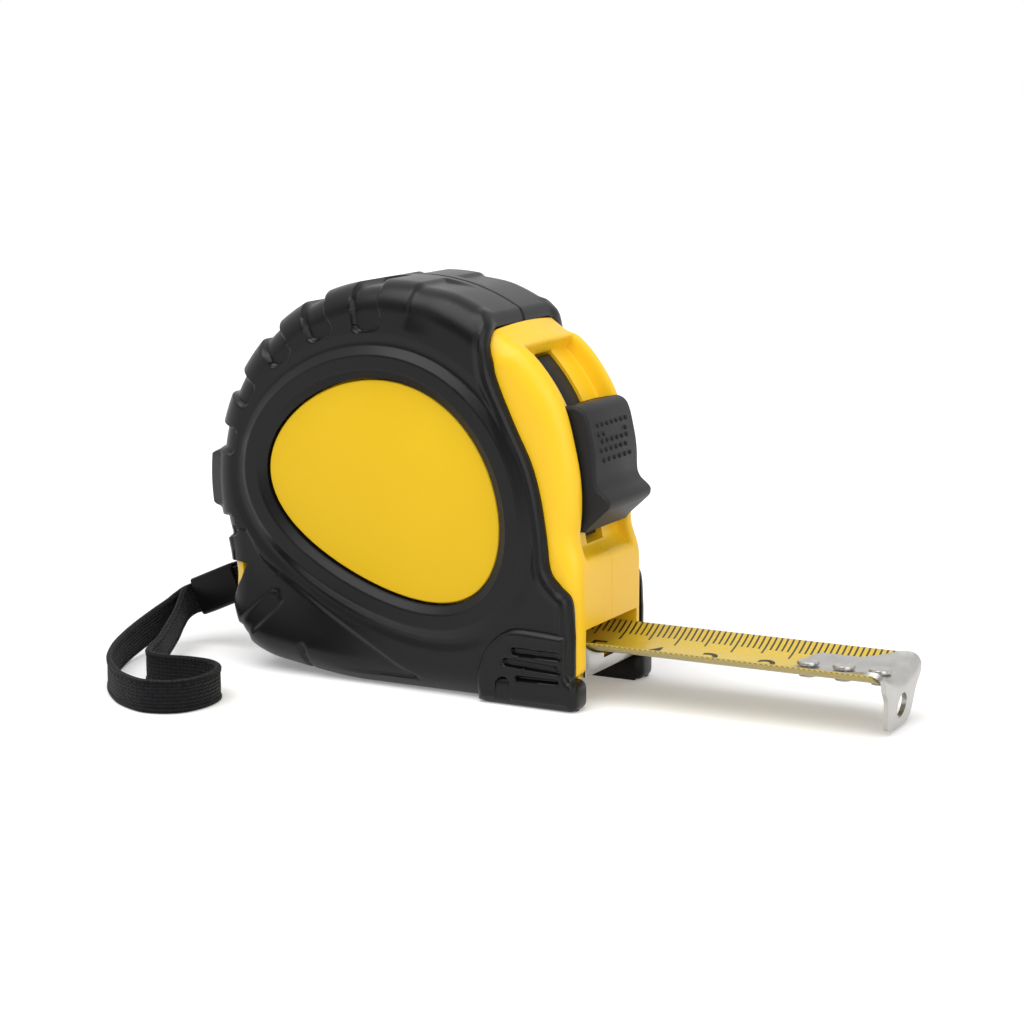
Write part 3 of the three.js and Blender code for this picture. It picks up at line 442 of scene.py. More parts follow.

# %% [markdown]

# %% [markdown]
# ## Rubber cover
# The cover is a thick skin of charcoal rubber moulded in two halves. Its flanks are flat, a soft shoulder
# leads to the tread, and U-shaped pockets cross the shoulder. A raised ring frames the egg-shaped panel, and a
# rolled lip follows its front edge. Extruded blocks with bevels would leave hard seams between these forms.
# So each half is one grid that runs from the panel's edge out over the shoulder to the parting line.
# First come its outlines, as seen from the side.

# %% Outlines of the cover, seen from the side
TREAD_RADIUS, BODY_HEIGHT, FRONT_X = 34.5, 67.5, 34.155
SHOULDER, FLANK, INNER_FLANK = 5.0, 14.3, 12.38
FLAT_RADIUS = TREAD_RADIUS - SHOULDER
front_shares = [
    (0.528, 0.935), (0.556, 0.908), (0.554, 0.866), (0.564, 0.804), (0.6, 0.752), (0.678, 0.667),
    (0.757, 0.587), (0.806, 0.505), (0.838, 0.412), (0.86, 0.334), (0.915, 0.298), (0.975, 0.266), (0.99, 0.18)]
front_edge = curve_through([(x * TREAD_RADIUS, z * BODY_HEIGHT) for x, z in front_shares], 14, 0)
front_edge = np.vstack([front_edge, [[FRONT_X, z] for z in np.arange(11.5, 4.9, -0.5)]])
edge_radius = np.hypot(front_edge[:, 0], front_edge[:, 1] - AXIS_Z)
edge_angle = np.degrees(np.arctan2(front_edge[:, 1] - AXIS_Z, front_edge[:, 0]))
top = int(np.argmax(edge_radius < FLAT_RADIUS)) + 1


def angle_at(radius):
    """Where the front edge crosses a circle round the drum axis, in degrees."""
    return float(np.interp(radius, edge_radius[:top][::-1], edge_angle[:top][::-1]))


start_angle = angle_at(FLAT_RADIUS)
print("the flat flank's back starts at", round(start_angle, 1), "degrees")

# %% [markdown]
# The panel's outline is an egg lying aslant: an ellipse with one side pushed out. Round its centre it is known
# by its reach in every direction, and by how squarely it stands there, which turns a reach into a distance.

# %% Egg of the panel
EGG_CENTRE = np.array([-0.76, 30.75])
EGG_TILT, EGG_LONG, EGG_WIDE, EGG_BULGE = math.radians(-22.9), 22.4, 16.8, 3.84
egg_angles = np.radians(np.arange(0, 360, 0.5))
egg_along = EGG_LONG * np.cos(egg_angles)
egg_across = EGG_WIDE * np.sin(egg_angles) + EGG_BULGE * np.sin(egg_angles) ** 2
egg = np.column_stack([egg_along * math.cos(EGG_TILT) - egg_across * math.sin(EGG_TILT),
                       egg_along * math.sin(EGG_TILT) + egg_across * math.cos(EGG_TILT)])
egg_turn = np.unwrap(np.arctan2(egg[:, 1], egg[:, 0]))
egg_reach = np.hypot(egg[:, 0], egg[:, 1])
egg_slope = np.gradient(egg_reach, egg_turn)
egg_square = egg_reach / np.hypot(egg_reach, egg_slope)
print("egg reaches", round(egg_reach.min(), 1), "to", round(egg_reach.max(), 1), "mm")


def round_egg(values, turn):
    """A value known round the egg, at other directions from its centre."""
    turns = np.concatenate([egg_turn - 2 * np.pi, egg_turn, egg_turn + 2 * np.pi])
    return np.interp((turn - egg_turn[0]) % (2 * np.pi) + egg_turn[0], turns, np.tile(values, 3))


# %% [markdown]
# The flank's border goes round the case where the shoulder starts, and comes back up the front edge.
# Distances along it, in millimetres, name the columns of the grid.

# %% Border of the flat flank
BORDER_STEPS = 1200


def arc(radius, low, high, step=0.5):
    """Points round the drum axis, between two angles in degrees."""
    a = np.radians(np.linspace(low, high, int(abs(high - low) / step) + 1))
    return np.column_stack([radius * np.cos(a), AXIS_Z + radius * np.sin(a)])


round_back = arc(FLAT_RADIUS, start_angle, 197)
rear_foot = curve_through([(-27.4, 20.6), (-26.9, 16.5), (-27.0, 13.4), (-26.8, 10.8), (-25.8, 8.6), (-23.2, 7.2),
                           (-19.1, 6.45), (-14.2, 5.75), (-9.5, 5.2), (-6.0, 5.0)], 10, 0.5)
base_line = np.column_stack([np.linspace(-5.5, FRONT_X, 90), np.full(90, 5.0)])
upfront = front_edge[top:][::-1]
border = np.vstack([round_back, rear_foot, base_line, upfront[1:], round_back[:1]])
border_run = np.concatenate([[0], np.cumsum(np.linalg.norm(np.diff(border, axis=0), axis=1))])
LAP = border_run[-1]
even_run = np.linspace(0, LAP, BORDER_STEPS)
even_border = np.column_stack([np.interp(even_run, border_run, border[:, k]) for k in (0, 1)])
heading = np.array([even_border[min(i + 4, BORDER_STEPS - 1)] - even_border[max(i - 4, 0)]
                    for i in range(BORDER_STEPS)])
outward = np.column_stack([heading[:, 1], -heading[:, 0]])
outward /= np.linalg.norm(outward, axis=1)[:, None]
corner_run = float(border_run[len(round_back) + len(rear_foot) + len(base_line) - 1])
outward[(even_run > corner_run - 12) & (even_run < corner_run + 0.5)] = (0, -1)
lap_turn = np.unwrap(np.arctan2(even_border[:, 1] - EGG_CENTRE[1], even_border[:, 0] - EGG_CENTRE[0]))
print("border", round(LAP, 1), "mm, front corner at", round(corner_run, 1))


# %% [markdown]
# A point of the skin is named by its column's distance along that border, and by how far out it is:
# 0 at the panel, 0.5 outside the ring, 1 at the shoulder, 2 where the tread starts, 3 at the parting line.

# %% From names of points to places
INNER_SHOULDER, PARTING_Y = 3.0, 0.12
RING_START, RING_SPREAD = 0.3, 11.8


def skin(run, out, inside=False):
    """Base points and outward directions of the skin. inside gives its inner wall."""
    flank, round_size = (INNER_FLANK, INNER_SHOULDER) if inside else (FLANK, SHOULDER)
    bx, bz, nx, nz, turn = (np.interp(run, even_run, v) for v in
                            (even_border[:, 0], even_border[:, 1], outward[:, 0], outward[:, 1], lap_turn))
    from_egg = RING_START + RING_SPREAD * np.clip(out, 0, 0.5)
    reach = round_egg(egg_reach, turn) + from_egg / round_egg(egg_square, turn)
    ex, ez = EGG_CENTRE[0] + reach * np.cos(turn), EGG_CENTRE[1] + reach * np.sin(turn)
    share = np.clip(out * 2 - 1, 0, 1)
    bend = np.radians(np.clip(out - 1, 0, 1) * 90)
    x = ex + (bx - ex) * share + round_size * np.sin(bend) * nx
    z = ez + (bz - ez) * share + round_size * np.sin(bend) * nz
    shoulder_end = flank - round_size
    y = flank - round_size * (1 - np.cos(bend)) - np.clip(out - 2, 0, 1) * (shoulder_end - PARTING_Y)
    normal = np.stack([np.sin(bend) * nx, np.cos(bend), np.sin(bend) * nz], axis=-1)
    return np.stack([x, y, z], axis=-1), normal


# %% [markdown]
# The outer edge of the grid follows the parting line, steps round the strap's notch at the rear and the open
# floor under the mouth, and climbs the front edge. Its corners are given as such names, and each stretch gets
# columns by its real length.

# %% Outer edge of the cover
COLUMNS = 700
FLOOR_HALF_WIDTH, NOTCH_HALF_WIDTH = 10, 12.2


def run_where(test_x, test_z, low, high):
    """Distance along the border of its point nearest a place of the tread."""
    tread = even_border + SHOULDER * outward
    near = np.hypot(tread[:, 0] - test_x, tread[:, 1] - test_z) + 1e3 * ((even_run < low) | (even_run > high))
    return float(even_run[int(np.argmin(near))])


def out_at(half_width):
    """How far out the shoulder's arc is this far from the middle plane."""
    return 1 + math.degrees(math.acos(1 - (FLANK - half_width) / SHOULDER)) / 90


def run_of(radius):
    """The name of the column that meets the front edge at a radius from the drum axis."""
    return (angle_at(radius) - start_angle) * math.pi / 180 * FLAT_RADIUS


notch_high = run_where(-31.6, 18.8, 60, 140)
notch_low = run_where(-31.0, 11.2, 60, 140)
gap_run = run_where(20.5, 0, 120, 200)
floor_out, notch_out = out_at(FLOOR_HALF_WIDTH), out_at(NOTCH_HALF_WIDTH)
climb = [(run_of(FLAT_RADIUS + SHOULDER * math.sin(math.radians(b))), 1 + b / 90) for b in range(0, 91, 15)]
corners = climb + [(run_of(TREAD_RADIUS), 3), (notch_high, 3), (notch_high, notch_out), (notch_low, notch_out),
                   (notch_low, 3), (gap_run, 3), (gap_run, floor_out), (corner_run, floor_out), (corner_run, 1),
                   (LAP, 1)]
stretches = []
for (r0, o0), (r1, o1) in zip(corners, corners[1:]):
    t = np.linspace(0, 1, 60)
    line, _ = skin(r0 + (r1 - r0) * t, o0 + (o1 - o0) * t)
    stretches.append(float(np.linalg.norm(np.diff(line, axis=0), axis=1).sum()))
counts = [max(2, round(COLUMNS * length / sum(stretches))) for length in stretches]
edge_names = []
for (r0, o0), (r1, o1), count in zip(corners, corners[1:], counts):
    edge_names += [(r0 + (r1 - r0) * k / count, o0 + (o1 - o0) * k / count) for k in range(count)]
edge_names = np.array(edge_names + [(LAP, 1.0)])
edge_run, edge_out = edge_names[:, 0], edge_names[:, 1]
print("columns", len(edge_run) - 1, "counts", counts)

# %% [markdown]
# Near the panel the columns are spread evenly again, by averaging their neighbours, so no square gets crushed.

# %% Columns and rows of the skin
NEIGHBOURS = 61
columns = len(edge_run) - 1
lapped = np.concatenate([edge_run[:-1] - LAP, edge_run[:-1], edge_run[:-1] + LAP])
soft_run = np.convolve(lapped, np.ones(NEIGHBOURS) / NEIGHBOURS, mode="same")[columns:2 * columns]
soft_run = np.append(soft_run, soft_run[0] + LAP)
row_share = np.concatenate([np.linspace(0, 1 / 6, 36), np.linspace(1 / 6, 1 / 3, 21)[1:],
                            np.linspace(1 / 3, 2 / 3, 23)[1:], np.linspace(2 / 3, 1, 22)[1:-1],
                            [1 - 0.012, 1 - 0.005, 1]])
print("rows of the outer skin", len(row_share))


def column_names(shares):
    """Names of all the points of the skin, rows by columns, for these shares of each column."""
    s = np.array(shares)[:, None]
    blend = s * s * (3 - 2 * s)
    run = soft_run[None] + (edge_run - soft_run)[None] * blend
    return run % LAP, s * edge_out[None]


# %% [markdown]
# ### Relief of the rubber
# Every raised or sunk form is a height above the plain skin. Heights come from distances: to the egg, to the
# front edge, to a pocket's wall. A soft step turns a distance into a rounded wall, as a mould's cutter leaves.

# %% Relief helpers
def soft_step(value, width):
    t = np.clip(value / width, 0, 1)
    return t * t * (3 - 2 * t)


def rolled_profile(knots, blur=0.35):
    """A profile through corner points whose corners are rounded off by averaging."""
    at = np.arange(knots[0][0] - 2, knots[-1][0] + 2, 0.02)
    plain = np.interp(at, [k[0] for k in knots], [k[1] for k in knots])
    width = int(blur / 0.02)
    pad = np.pad(plain, width, mode="edge")
    soft = np.convolve(pad, np.ones(width) / width, mode="same")[width:-width]
    return at, soft


def distance_to_line(x, z, line):
    best = np.full(x.shape, 1e9)
    for a, b in zip(line, line[1:]):
        d = b - a
        t = np.clip(((x - a[0]) * d[0] + (z - a[1]) * d[1]) / (d @ d), 0, 1)
        best = np.minimum(best, np.hypot(x - a[0] - t * d[0], z - a[1] - t * d[1]))
    return best


def in_rounded_slot(a, b, half_a, low_b, high_b, corner):
    """Distance inside a rounded rectangle, negative outside."""
    qa = np.abs(a) - (half_a - corner)
    qb = np.abs(b - (low_b + high_b) / 2) - ((high_b - low_b) / 2 - corner)
    outside = np.hypot(np.maximum(qa, 0), np.maximum(qb, 0)) + np.minimum(np.maximum(qa, qb), 0)
    return corner - outside


# %% [markdown]
# The ring round the panel rises on a slope from the panel's edge, runs flat and falls on a second slope into a
# faint groove. Above the boot the grid runs too much aslant to carry the groove, so it fades out there.

# %% Ring round the panel
GROOVE_STARTS, FADE_X, FADE_Z, FADE_SIZE = 3, 21.5, 14.5, 5
ring_at, ring_height = rolled_profile([(0, -0.1), (0.35, -0.05), (1.75, 0.84), (4.1, 0.88), (5.7, -0.15),
                                       (6.3, -0.2), (7.6, 0)], 0.14)
print("ring stands", round(float(ring_height.max()), 2), "mm high")


def egg_distance(x, z):
    """How far outside the panel's egg a point is."""
    dx, dz = x - EGG_CENTRE[0], z - EGG_CENTRE[1]
    turn = np.arctan2(dz, dx)
    return (np.hypot(dx, dz) - round_egg(egg_reach, turn)) * round_egg(egg_square, turn)


def ring_relief(x, z, from_egg):
    ring = np.interp(from_egg, ring_at, ring_height)
    calm = 1 - np.exp(-(np.hypot(x - FADE_X, z - FADE_Z) / FADE_SIZE) ** 4)
    return np.where((ring < 0) & (from_egg > GROOVE_STARTS), ring * calm, ring)


# %% [markdown]
# The lip along the front edge stands up a little and then rolls over into the edge. On top of the case it
# fades out before the parting line.

# %% Lip along the front edge
LIP_ENDS_Y, LIP_FADE, LIP_FADES_ABOVE = 11.5, 3, 45
lip_at, lip_height = rolled_profile([(0, -1.5), (0.2, -0.75), (0.7, -0.05), (1.5, 0.38), (2.7, 0.0), (4, 0)], 0.4)
print("lip stands", round(float(lip_height.max()), 2), "mm high")


def lip_relief(x, y, z):
    lip = np.interp(distance_to_line(x, z, front_edge[::3]), lip_at, lip_height)
    fade = soft_step(LIP_ENDS_Y - y, LIP_FADE) * (z > LIP_FADES_ABOVE)
    return np.where(lip > 0, lip * (1 - fade), lip)


# %% [markdown]
# The tread has U-shaped pockets, which give a wet or gloved hand its grip. Each is sunk in the shoulder and
# ends short of the parting line. Behind the smooth top the tread starts with a single step.

# %% Pockets and step of the tread
TREAD_RIM_Y, WALL_WIDTH = 1.9, 0.45
STEP_ANGLE, STEP_DEPTH = math.radians(82), 0.45
pockets = [(96.8, 2.5, 0.757, 0.95), (115.5, 2.3, 0.785, 0.95), (133.1, 2.45, 0.808, 0.95),
           (151.5, 2.3, 0.84, 0.95), (168.3, 2.3, 0.85, 0.95), (195, 1.9, 0.88, 0.95), (222.5, 1.6, 0.82, 0.45)]
print(len(pockets), "pockets and one step")


def pocket_depth(radius, angle, y, place, half_width, end, deep):
    """A pocket at a place in degrees. end is where it stops, as a share of the tread's radius."""
    off = angle - math.radians(place)
    off = (off + np.pi) % (2 * np.pi) - np.pi
    aside, outwards = radius * np.sin(off), radius * np.cos(off)
    within = in_rounded_slot(aside, outwards, half_width + 0.15, end * TREAD_RADIUS, 60, 1.4)
    within = np.minimum(within, y - TREAD_RIM_Y)
    return deep * soft_step(within, WALL_WIDTH) * (np.abs(off) < 0.5)


def step_depth(radius, angle, y):
    behind = radius * np.sin(STEP_ANGLE - angle)
    step = soft_step(behind, 0.4) * (1 - soft_step(behind - 0.4, 6.5)) * soft_step(radius - 26.6, 3.5)
    return STEP_DEPTH * step * soft_step(y - TREAD_RIM_Y, WALL_WIDTH) * (np.abs(angle - 1.35) < 0.4)


# %% [markdown]
# The rear flank folds inwards along a crease. A short line is scored in the sole, the notch's corner is set
# back for the strap, and a fine groove marks where the two halves meet.

# %% Crease, sole line, notch corner and seam
CREASE_DEPTH, CREASE_END_X = 0.42, 8.5
crease_line = curve_through([(-27.1, 24.4), (-23.6, 19.5), (-16.4, 15.1), (-10.6, 11.4), (-1, 6),
                             (CREASE_END_X, 0.8)], 5, 0)
SOLE_LINE, SOLE_DEPTH, SOLE_WIDTH = np.array([(-16.3, 5.4), (-15.7, 0.0)]), 0.45, 0.4
CORNER_DEPTH, CORNER_TOP, SEAM_DEPTH, SEAM_Y = 2.3, 18.75, 0.32, 0.42
print("crease drawn through", len(crease_line), "points")


def crease_depth(x, z, out, from_egg):
    below = np.interp(x, crease_line[:, 0], crease_line[:, 1]) - z
    beyond = np.where(below > 0, 1, -1) * distance_to_line(x, z, crease_line)
    fold = soft_step(beyond + 0.4, 0.8) * (1 - soft_step(beyond - 2, 7)) * (out < 1.4)
    return CREASE_DEPTH * fold * soft_step(from_egg - 5.6, 0.8) * (x < CREASE_END_X)


def corner_depth(x, z):
    beside = ((z - 19.4) * 3.6 - (x + 26.6) * 6.9) / math.hypot(3.6, 6.9)
    corner = np.minimum(beside, CORNER_TOP - z) * (z > 11) * (x < -24)
    return CORNER_DEPTH * soft_step(corner, 0.7)


# %% [markdown]
# The relief is the sum of all these. out is the second half of a point's name, and it keeps the ring and the
# crease off the tread.

# %% Relief of a point of the skin
def relief(points, out):
    x, y, z = points[..., 0], points[..., 1], points[..., 2]
    radius, angle = np.hypot(x, z - AXIS_Z), np.arctan2(z - AXIS_Z, x)
    from_egg = egg_distance(x, z)
    height = ring_relief(x, z, from_egg) * (out < 1.6) + lip_relief(x, y, z)
    for pocket in pockets:
        height = height - pocket_depth(radius, angle, y, *pocket)
    height = height - step_depth(radius, angle, y) - crease_depth(x, z, out, from_egg)
    height = height - SOLE_DEPTH * np.exp(-(distance_to_line(x, z, SOLE_LINE) / SOLE_WIDTH) ** 2)
    return height - corner_depth(x, z) - SEAM_DEPTH * soft_step(SEAM_Y - y, 0.3)


# %% [markdown]
# The tall lug at the rear keeps its own radius across the tread, so it stands further off the shoulder. It is
# no relief along the skin's own directions: its points are pushed straight away from the drum's axis.

# %% Rear lug
LUG_RADIUS, LUG_EDGE_Y, LUG_ROUND, LUG_FROM, LUG_TO = 34.1, 11.3, 1.3, 172.5, 189.5


def push_lug(points):
    x, y, z = points[..., 0], points[..., 1], points[..., 2]
    radius, angle = np.hypot(x, z - AXIS_Z), np.degrees(np.arctan2(z - AXIS_Z, x)) % 360
    side = np.clip(y - LUG_EDGE_Y, 0, LUG_ROUND - 0.05)
    lug = np.where(y < LUG_EDGE_Y + LUG_ROUND - 0.05,
                   LUG_RADIUS + np.sqrt(np.maximum(LUG_ROUND ** 2 - side ** 2, 0)), 0)
    inset = np.minimum(angle - LUG_FROM, LUG_TO - angle) * math.pi / 180 * TREAD_RADIUS
    grow = np.maximum(lug - radius, 0) * soft_step(inset, 1.0) * (radius > 29.5)
    share = (radius + grow) / radius
    moved = points.copy()
    moved[..., 0], moved[..., 2] = x * share, AXIS_Z + (z - AXIS_Z) * share
    return moved


# %% [markdown]
# The boot is a thick pad at the lower front corner, where a dropped tape lands first. It is a polar grid from
# its middle to its outline, with finger-like grooves sunk in it. Its edge is rolled, and rolled more below, so
# that it meets the table softly.

# %% Boot pad
BOOT_CENTRE = np.array([26.0, 6.4])
BOOT_Y, BOOT_BACK_Y, GROOVE_DEPTH, GROOVE_WALL = 15.2, 12.5, 1.0, 0.45
boot_outline = np.vstack([
    [(34.9, 0.2), (34.9, 3.9)], curve_through([(34.85, 4.2), (34.5, 4.85), (33.8, 5.3), (33.5, 6.1)], 4, 0),
    [(33.5, 12.3)], curve_through([(33.2, 12.55), (28.6, 12.85), (24.4, 12.9), (22.2, 12.1),
    (20.2, 10.6), (18.7, 8.6), (17.7, 6.2), (17.25, 3.4), (17.3, 0.2)], 8, 0), [(25.0, 0.2)], [(34.9, 0.2)]])
boot_grooves = [((24.4, 9.2), (32.3, 9.15), 0.75), ((22.9, 7.3), (32.2, 6.85), 0.8),
                ((24.9, 4.85), (32.0, 5.0), 0.5), ((22.3, 3.6), (22.3, -1.0), 1.35)]
boot_ridge = np.array([(22.0, 11.9), (32.5, 11.75)])
print("boot outline of", len(boot_outline), "points, with", len(boot_grooves), "grooves")


def boot_mesh():
    outline = evenly(boot_outline, 251)
    rows = []
    for share in np.concatenate([np.linspace(0, 0.8, 26), np.linspace(0.8, 1, 15)[1:]]):
        x = BOOT_CENTRE[0] + (outline[:, 0] - BOOT_CENTRE[0]) * share
        z = BOOT_CENTRE[1] + (outline[:, 1] - BOOT_CENTRE[1]) * share
        inset = distance_to_line(x, z, boot_outline) if share < 1 else np.zeros(len(x))
        roll = 1.0 + 0.8 * soft_step(4.0 - z, 3.5)
        drop = roll - np.sqrt(np.maximum(roll ** 2 - np.maximum(roll - inset, 0) ** 2, 0))
        y = BOOT_Y - drop
        for a, b, half_width in boot_grooves:
            within = half_width - distance_to_line(x, z, np.array([a, b]))
            y = y - GROOVE_DEPTH * soft_step(within, GROOVE_WALL)
        y = y + 0.12 * np.exp(-(distance_to_line(x, z, boot_ridge) / 0.5) ** 2)
        rows.append(np.column_stack([x, y, z]))
    rows.append(np.column_stack([outline[:, 0], np.full(len(outline), BOOT_BACK_Y), outline[:, 1]]))
    return closed(laid_grid(np.array(rows)))


# %% [markdown]
# The foot under the boot is a bar that the case stands on, with all its edges rounded.

# %% Foot under the boot
def foot_mesh():
    bm = bmesh.new()
    place = Matrix.Translation((26.35, 12.4, 2.5)) @ Matrix.Diagonal((18.0, 5.2, 5.0, 1))
    bmesh.ops.create_cube(bm, size=1, matrix=place)
    bmesh.ops.bevel(bm, geom=bm.edges, offset=1.5, affect="EDGES", segments=5, profile=0.5, material=-1)
    return bm


# %% [markdown]
# The right half has three round holes for the case screws. The skin is first dented to its inner wall there.
# Then the dent's floor and the wall behind it are deleted, and the two open loops are bridged.

# %% Screw holes
SCREW_CIRCLE = 27.2
SCREW_PLACES = [(SCREW_CIRCLE * math.cos(math.radians(a)), AXIS_Z + SCREW_CIRCLE * math.sin(math.radians(a)))
                for a in (108, 207)] + [(31.0, 17.5)]
HOLE_RADIUS, DENT_Y = 2.3, 12.42


def dent_for_screws(points):
    dented = points.copy()
    for x, z in SCREW_PLACES:
        off = np.hypot(points[..., 0] - x, points[..., 2] - z)
        share = soft_step(HOLE_RADIUS - off, 0.22) * (points[..., 1] > DENT_Y)
        dented[..., 1] += (DENT_Y - points[..., 1]) * share
    return dented


def open_screw_holes(bm):
    for x, z in SCREW_PLACES:
        gone = []
        for face in bm.faces:
            centre = face.calc_center_median()
            off = math.hypot(centre.x - x, centre.z - z)
            if 12.3 < centre.y < 12.45 and off < (2.0 if face.normal.y > 0 else 3.1):
                gone.append(face)
        bmesh.ops.delete(bm, geom=gone, context="FACES")
        bmesh.ops.bridge_loops(bm, edges=[edge for edge in bm.edges if edge.is_boundary])
        print("screw hole bridged,", len(gone), "faces gone")


# %% [markdown]
# Now one half can be made: outer skin, the rim of the outer edge, the inner wall and the rim of the panel's
# hole, in one grid that closes on itself both ways. The right half is its mirror image.

# %% Make a cover half
def cover_half(side):
    run, out = column_names(row_share)
    base, normal = skin(run, out)
    outer = push_lug(base + normal * relief(base, out)[..., None])
    tread_rows, shoulder_rows, flank_rows = 5, 5, 6
    if side > 0:
        outer = dent_for_screws(outer)
        tread_rows, shoulder_rows, flank_rows = 3, 8, 12
    inner_shares = np.concatenate([np.linspace(1, 2 / 3, tread_rows), np.linspace(2 / 3, 1 / 3, shoulder_rows)[1:],
                                   np.linspace(1 / 3, 0, flank_rows)[1:]])
    run, out = column_names(inner_shares)
    inner, _ = skin(run, out, inside=True)
    rim = [outer[-1] + (inner[0] - outer[-1]) * t for t in (0.33, 0.67)]
    hole = [inner[-1] + (outer[0] - inner[-1]) * t for t in (0.33, 0.67, 1.0)]
    points = np.concatenate([outer, rim, inner, hole])
    points[:, -1] = points[:, 0]
    shell = closed(laid_grid(points), fill=False)
    if side > 0:
        open_screw_holes(shell)
    add_mesh(shell, boot_mesh())
    add_mesh(shell, foot_mesh())
    bmesh.ops.scale(shell, vec=(1, side, 1), verts=shell.verts)
    bmesh.ops.recalc_face_normals(shell, faces=shell.faces)
    return shell


# %% [markdown]
# The rubber is a thermoplastic elastomer, moulded against a lightly etched tool. It looks matt charcoal,
# with a soft grey sheen on rounded edges, a fine grain and faint cloudy patches where it has been handled.
# The grain is drawn 0.36 mm wide, coarser than the real one, so that it shows, and a patch is about 11 mm.

# %% Rubber finish
rubber, tree, shader = new_finish("moulded_charcoal_rubber", roughness=0.36, specular=0.28)
where = add_node(tree, "ShaderNodeTexCoord")
grain = add_node(tree, "ShaderNodeTexNoise", None,
                 {"Vector": where.outputs["Object"], "Scale": spot_scale(0.357), "Detail": 4, "Roughness": 0.6})
cloud = add_node(tree, "ShaderNodeTexNoise", None,
                 {"Vector": where.outputs["Object"], "Scale": spot_scale(11.1), "Detail": 3})
speck = add_node(tree, "ShaderNodeMapRange", None,
                 {"Value": grain.outputs[0], "From Min": 0.3, "From Max": 0.7, "To Min": 0.0, "To Max": 0.5})
mixed = add_node(tree, "ShaderNodeMath", {"operation": "ADD"}, {0: speck.outputs[0], 1: cloud.outputs[0]})
tint = add_node(tree, "ShaderNodeMix", {"data_type": "RGBA"},
                {0: mixed.outputs[0], 6: colour("#050506"), 7: colour("#0b0b0c")})
rough = add_node(tree, "ShaderNodeMapRange", None, {"Value": mixed.outputs[0], "To Min": 0.26, "To Max": 0.36})
bump = add_node(tree, "ShaderNodeBump", None, {"Strength": 0.35, "Distance": 0.00003, "Height": grain.outputs[0]})
link_finish(tree, shader, tint, rough, bump)

# %% [markdown]
# The two halves stay separate pieces, because they are moulded apart and meet at the fine seam.

# %% Both cover halves
for side, name in ((-1, "left"), (1, "right")):
    add_piece(cover_half(side), f"rubber_skin_{name}", rubber, "case", [f"rubber_cover_{name}"], 50)

# %% [markdown]
# At the rear the yellow case fills the notch of the cover, nearly flush with the rubber, and leaves a slot in
# the middle for the strap. The two pads follow the cover's own surface, sunk a little, and get a thickness.

# %% Pads in the notch
PAD_SUNK, PAD_THICKNESS, SLOT_HALF_WIDTH = 0.75, 2.2, 2.2


def notch_pad(side):
    slot_out = 2 + (FLANK - SHOULDER - SLOT_HALF_WIDTH) / (FLANK - SHOULDER - PARTING_Y)
    run, out = np.meshgrid(np.linspace(notch_high - 2.3, notch_low - 0.3, 16), np.linspace(1.2, slot_out, 24))
    base, normal = skin(run, out)
    bm = laid_grid(base - normal * PAD_SUNK)
    bmesh.ops.recalc_face_normals(bm, faces=bm.faces)
    bm.faces.ensure_lookup_table()
    if bm.faces[0].normal.x > 0:
        bmesh.ops.reverse_faces(bm, faces=bm.faces)
    bmesh.ops.solidify(bm, geom=bm.faces, thickness=PAD_THICKNESS)
    bmesh.ops.scale(bm, vec=(1, side, 1), verts=bm.verts)
    bmesh.ops.recalc_face_normals(bm, faces=bm.faces)
    return bm


# %% [markdown]
# Openings with crisp walls are cut with a boolean. Its result replaces the piece's mesh, and the cutter goes
# away. The cut makes new edges, so the sharp ones are marked again after it.

# %% Cut with a boolean
def cut_with(piece, cutter_bm, crease=None):
    bmesh.ops.transform(cutter_bm, matrix=TO_FRAME, verts=cutter_bm.verts)
    mesh = bpy.data.meshes.new("cutter")
    cutter_bm.to_mesh(mesh)
    cutter_bm.free()
    cutter = bpy.data.objects.new("cutter", mesh)
    bpy.context.scene.collection.objects.link(cutter)
    modifier = piece.modifiers.new("cut", "BOOLEAN")
    modifier.operation, modifier.solver, modifier.object = "DIFFERENCE", "MANIFOLD", cutter
    bpy.context.view_layer.update()
    graph = bpy.context.evaluated_depsgraph_get()
    result = bpy.data.meshes.new_from_object(piece.evaluated_get(graph), depsgraph=graph)
    piece.modifiers.clear()
    old, name = piece.data, piece.data.name
    piece.data = result
    bpy.data.meshes.remove(old)
    result.name = name
    bpy.data.objects.remove(cutter)
    bpy.data.meshes.remove(mesh)
    if crease:
        result.set_sharp_from_angle(angle=math.radians(crease))
        print(name, "cut,", len(result.polygons), "faces left")


# %% [markdown]
# ## Yellow case
# The case halves are injection-moulded ABS: a warm yellow with a soft gloss. The CAD's own shape is right for
# what the rubber covers. A copy of it has its triangles merged first. Other CAD parts whose edges show, the
# slider and the mouth plate, also get a small bevel on their sharper edges, because the CAD's are knife-sharp.

# %% Copies of a CAD node
def merged(node):
    """A CAD node's mesh in millimetres, with its faces joined where they meet."""
    bm = bmesh.new()
    bm.from_mesh(cad[node].data)
    bmesh.ops.scale(bm, vec=(1000, 1000, 1000), verts=bm.verts)
    bmesh.ops.remove_doubles(bm, verts=bm.verts, dist=0.002)
    return bm


def softened(node, bevel):
    """A merged copy with its edges bevelled, back in metres."""
    bm = merged(node)
    bmesh.ops.dissolve_limit(bm, angle_limit=math.radians(0.5), verts=bm.verts, edges=bm.edges)
    sharp = [edge for edge in bm.edges if len(edge.link_faces) == 2
             and edge.calc_face_angle(0) > math.radians(32)]
    bmesh.ops.bevel(bm, geom=sharp, offset=bevel, affect="EDGES", segments=2, profile=0.5,
                    material=-1, clamp_overlap=True)
    bmesh.ops.scale(bm, vec=(0.001, 0.001, 0.001), verts=bm.verts)
    return bm


# %% [markdown]
# The yellow's clouds are broad, about 17 mm, and so faint that they only keep the colour from looking flat.

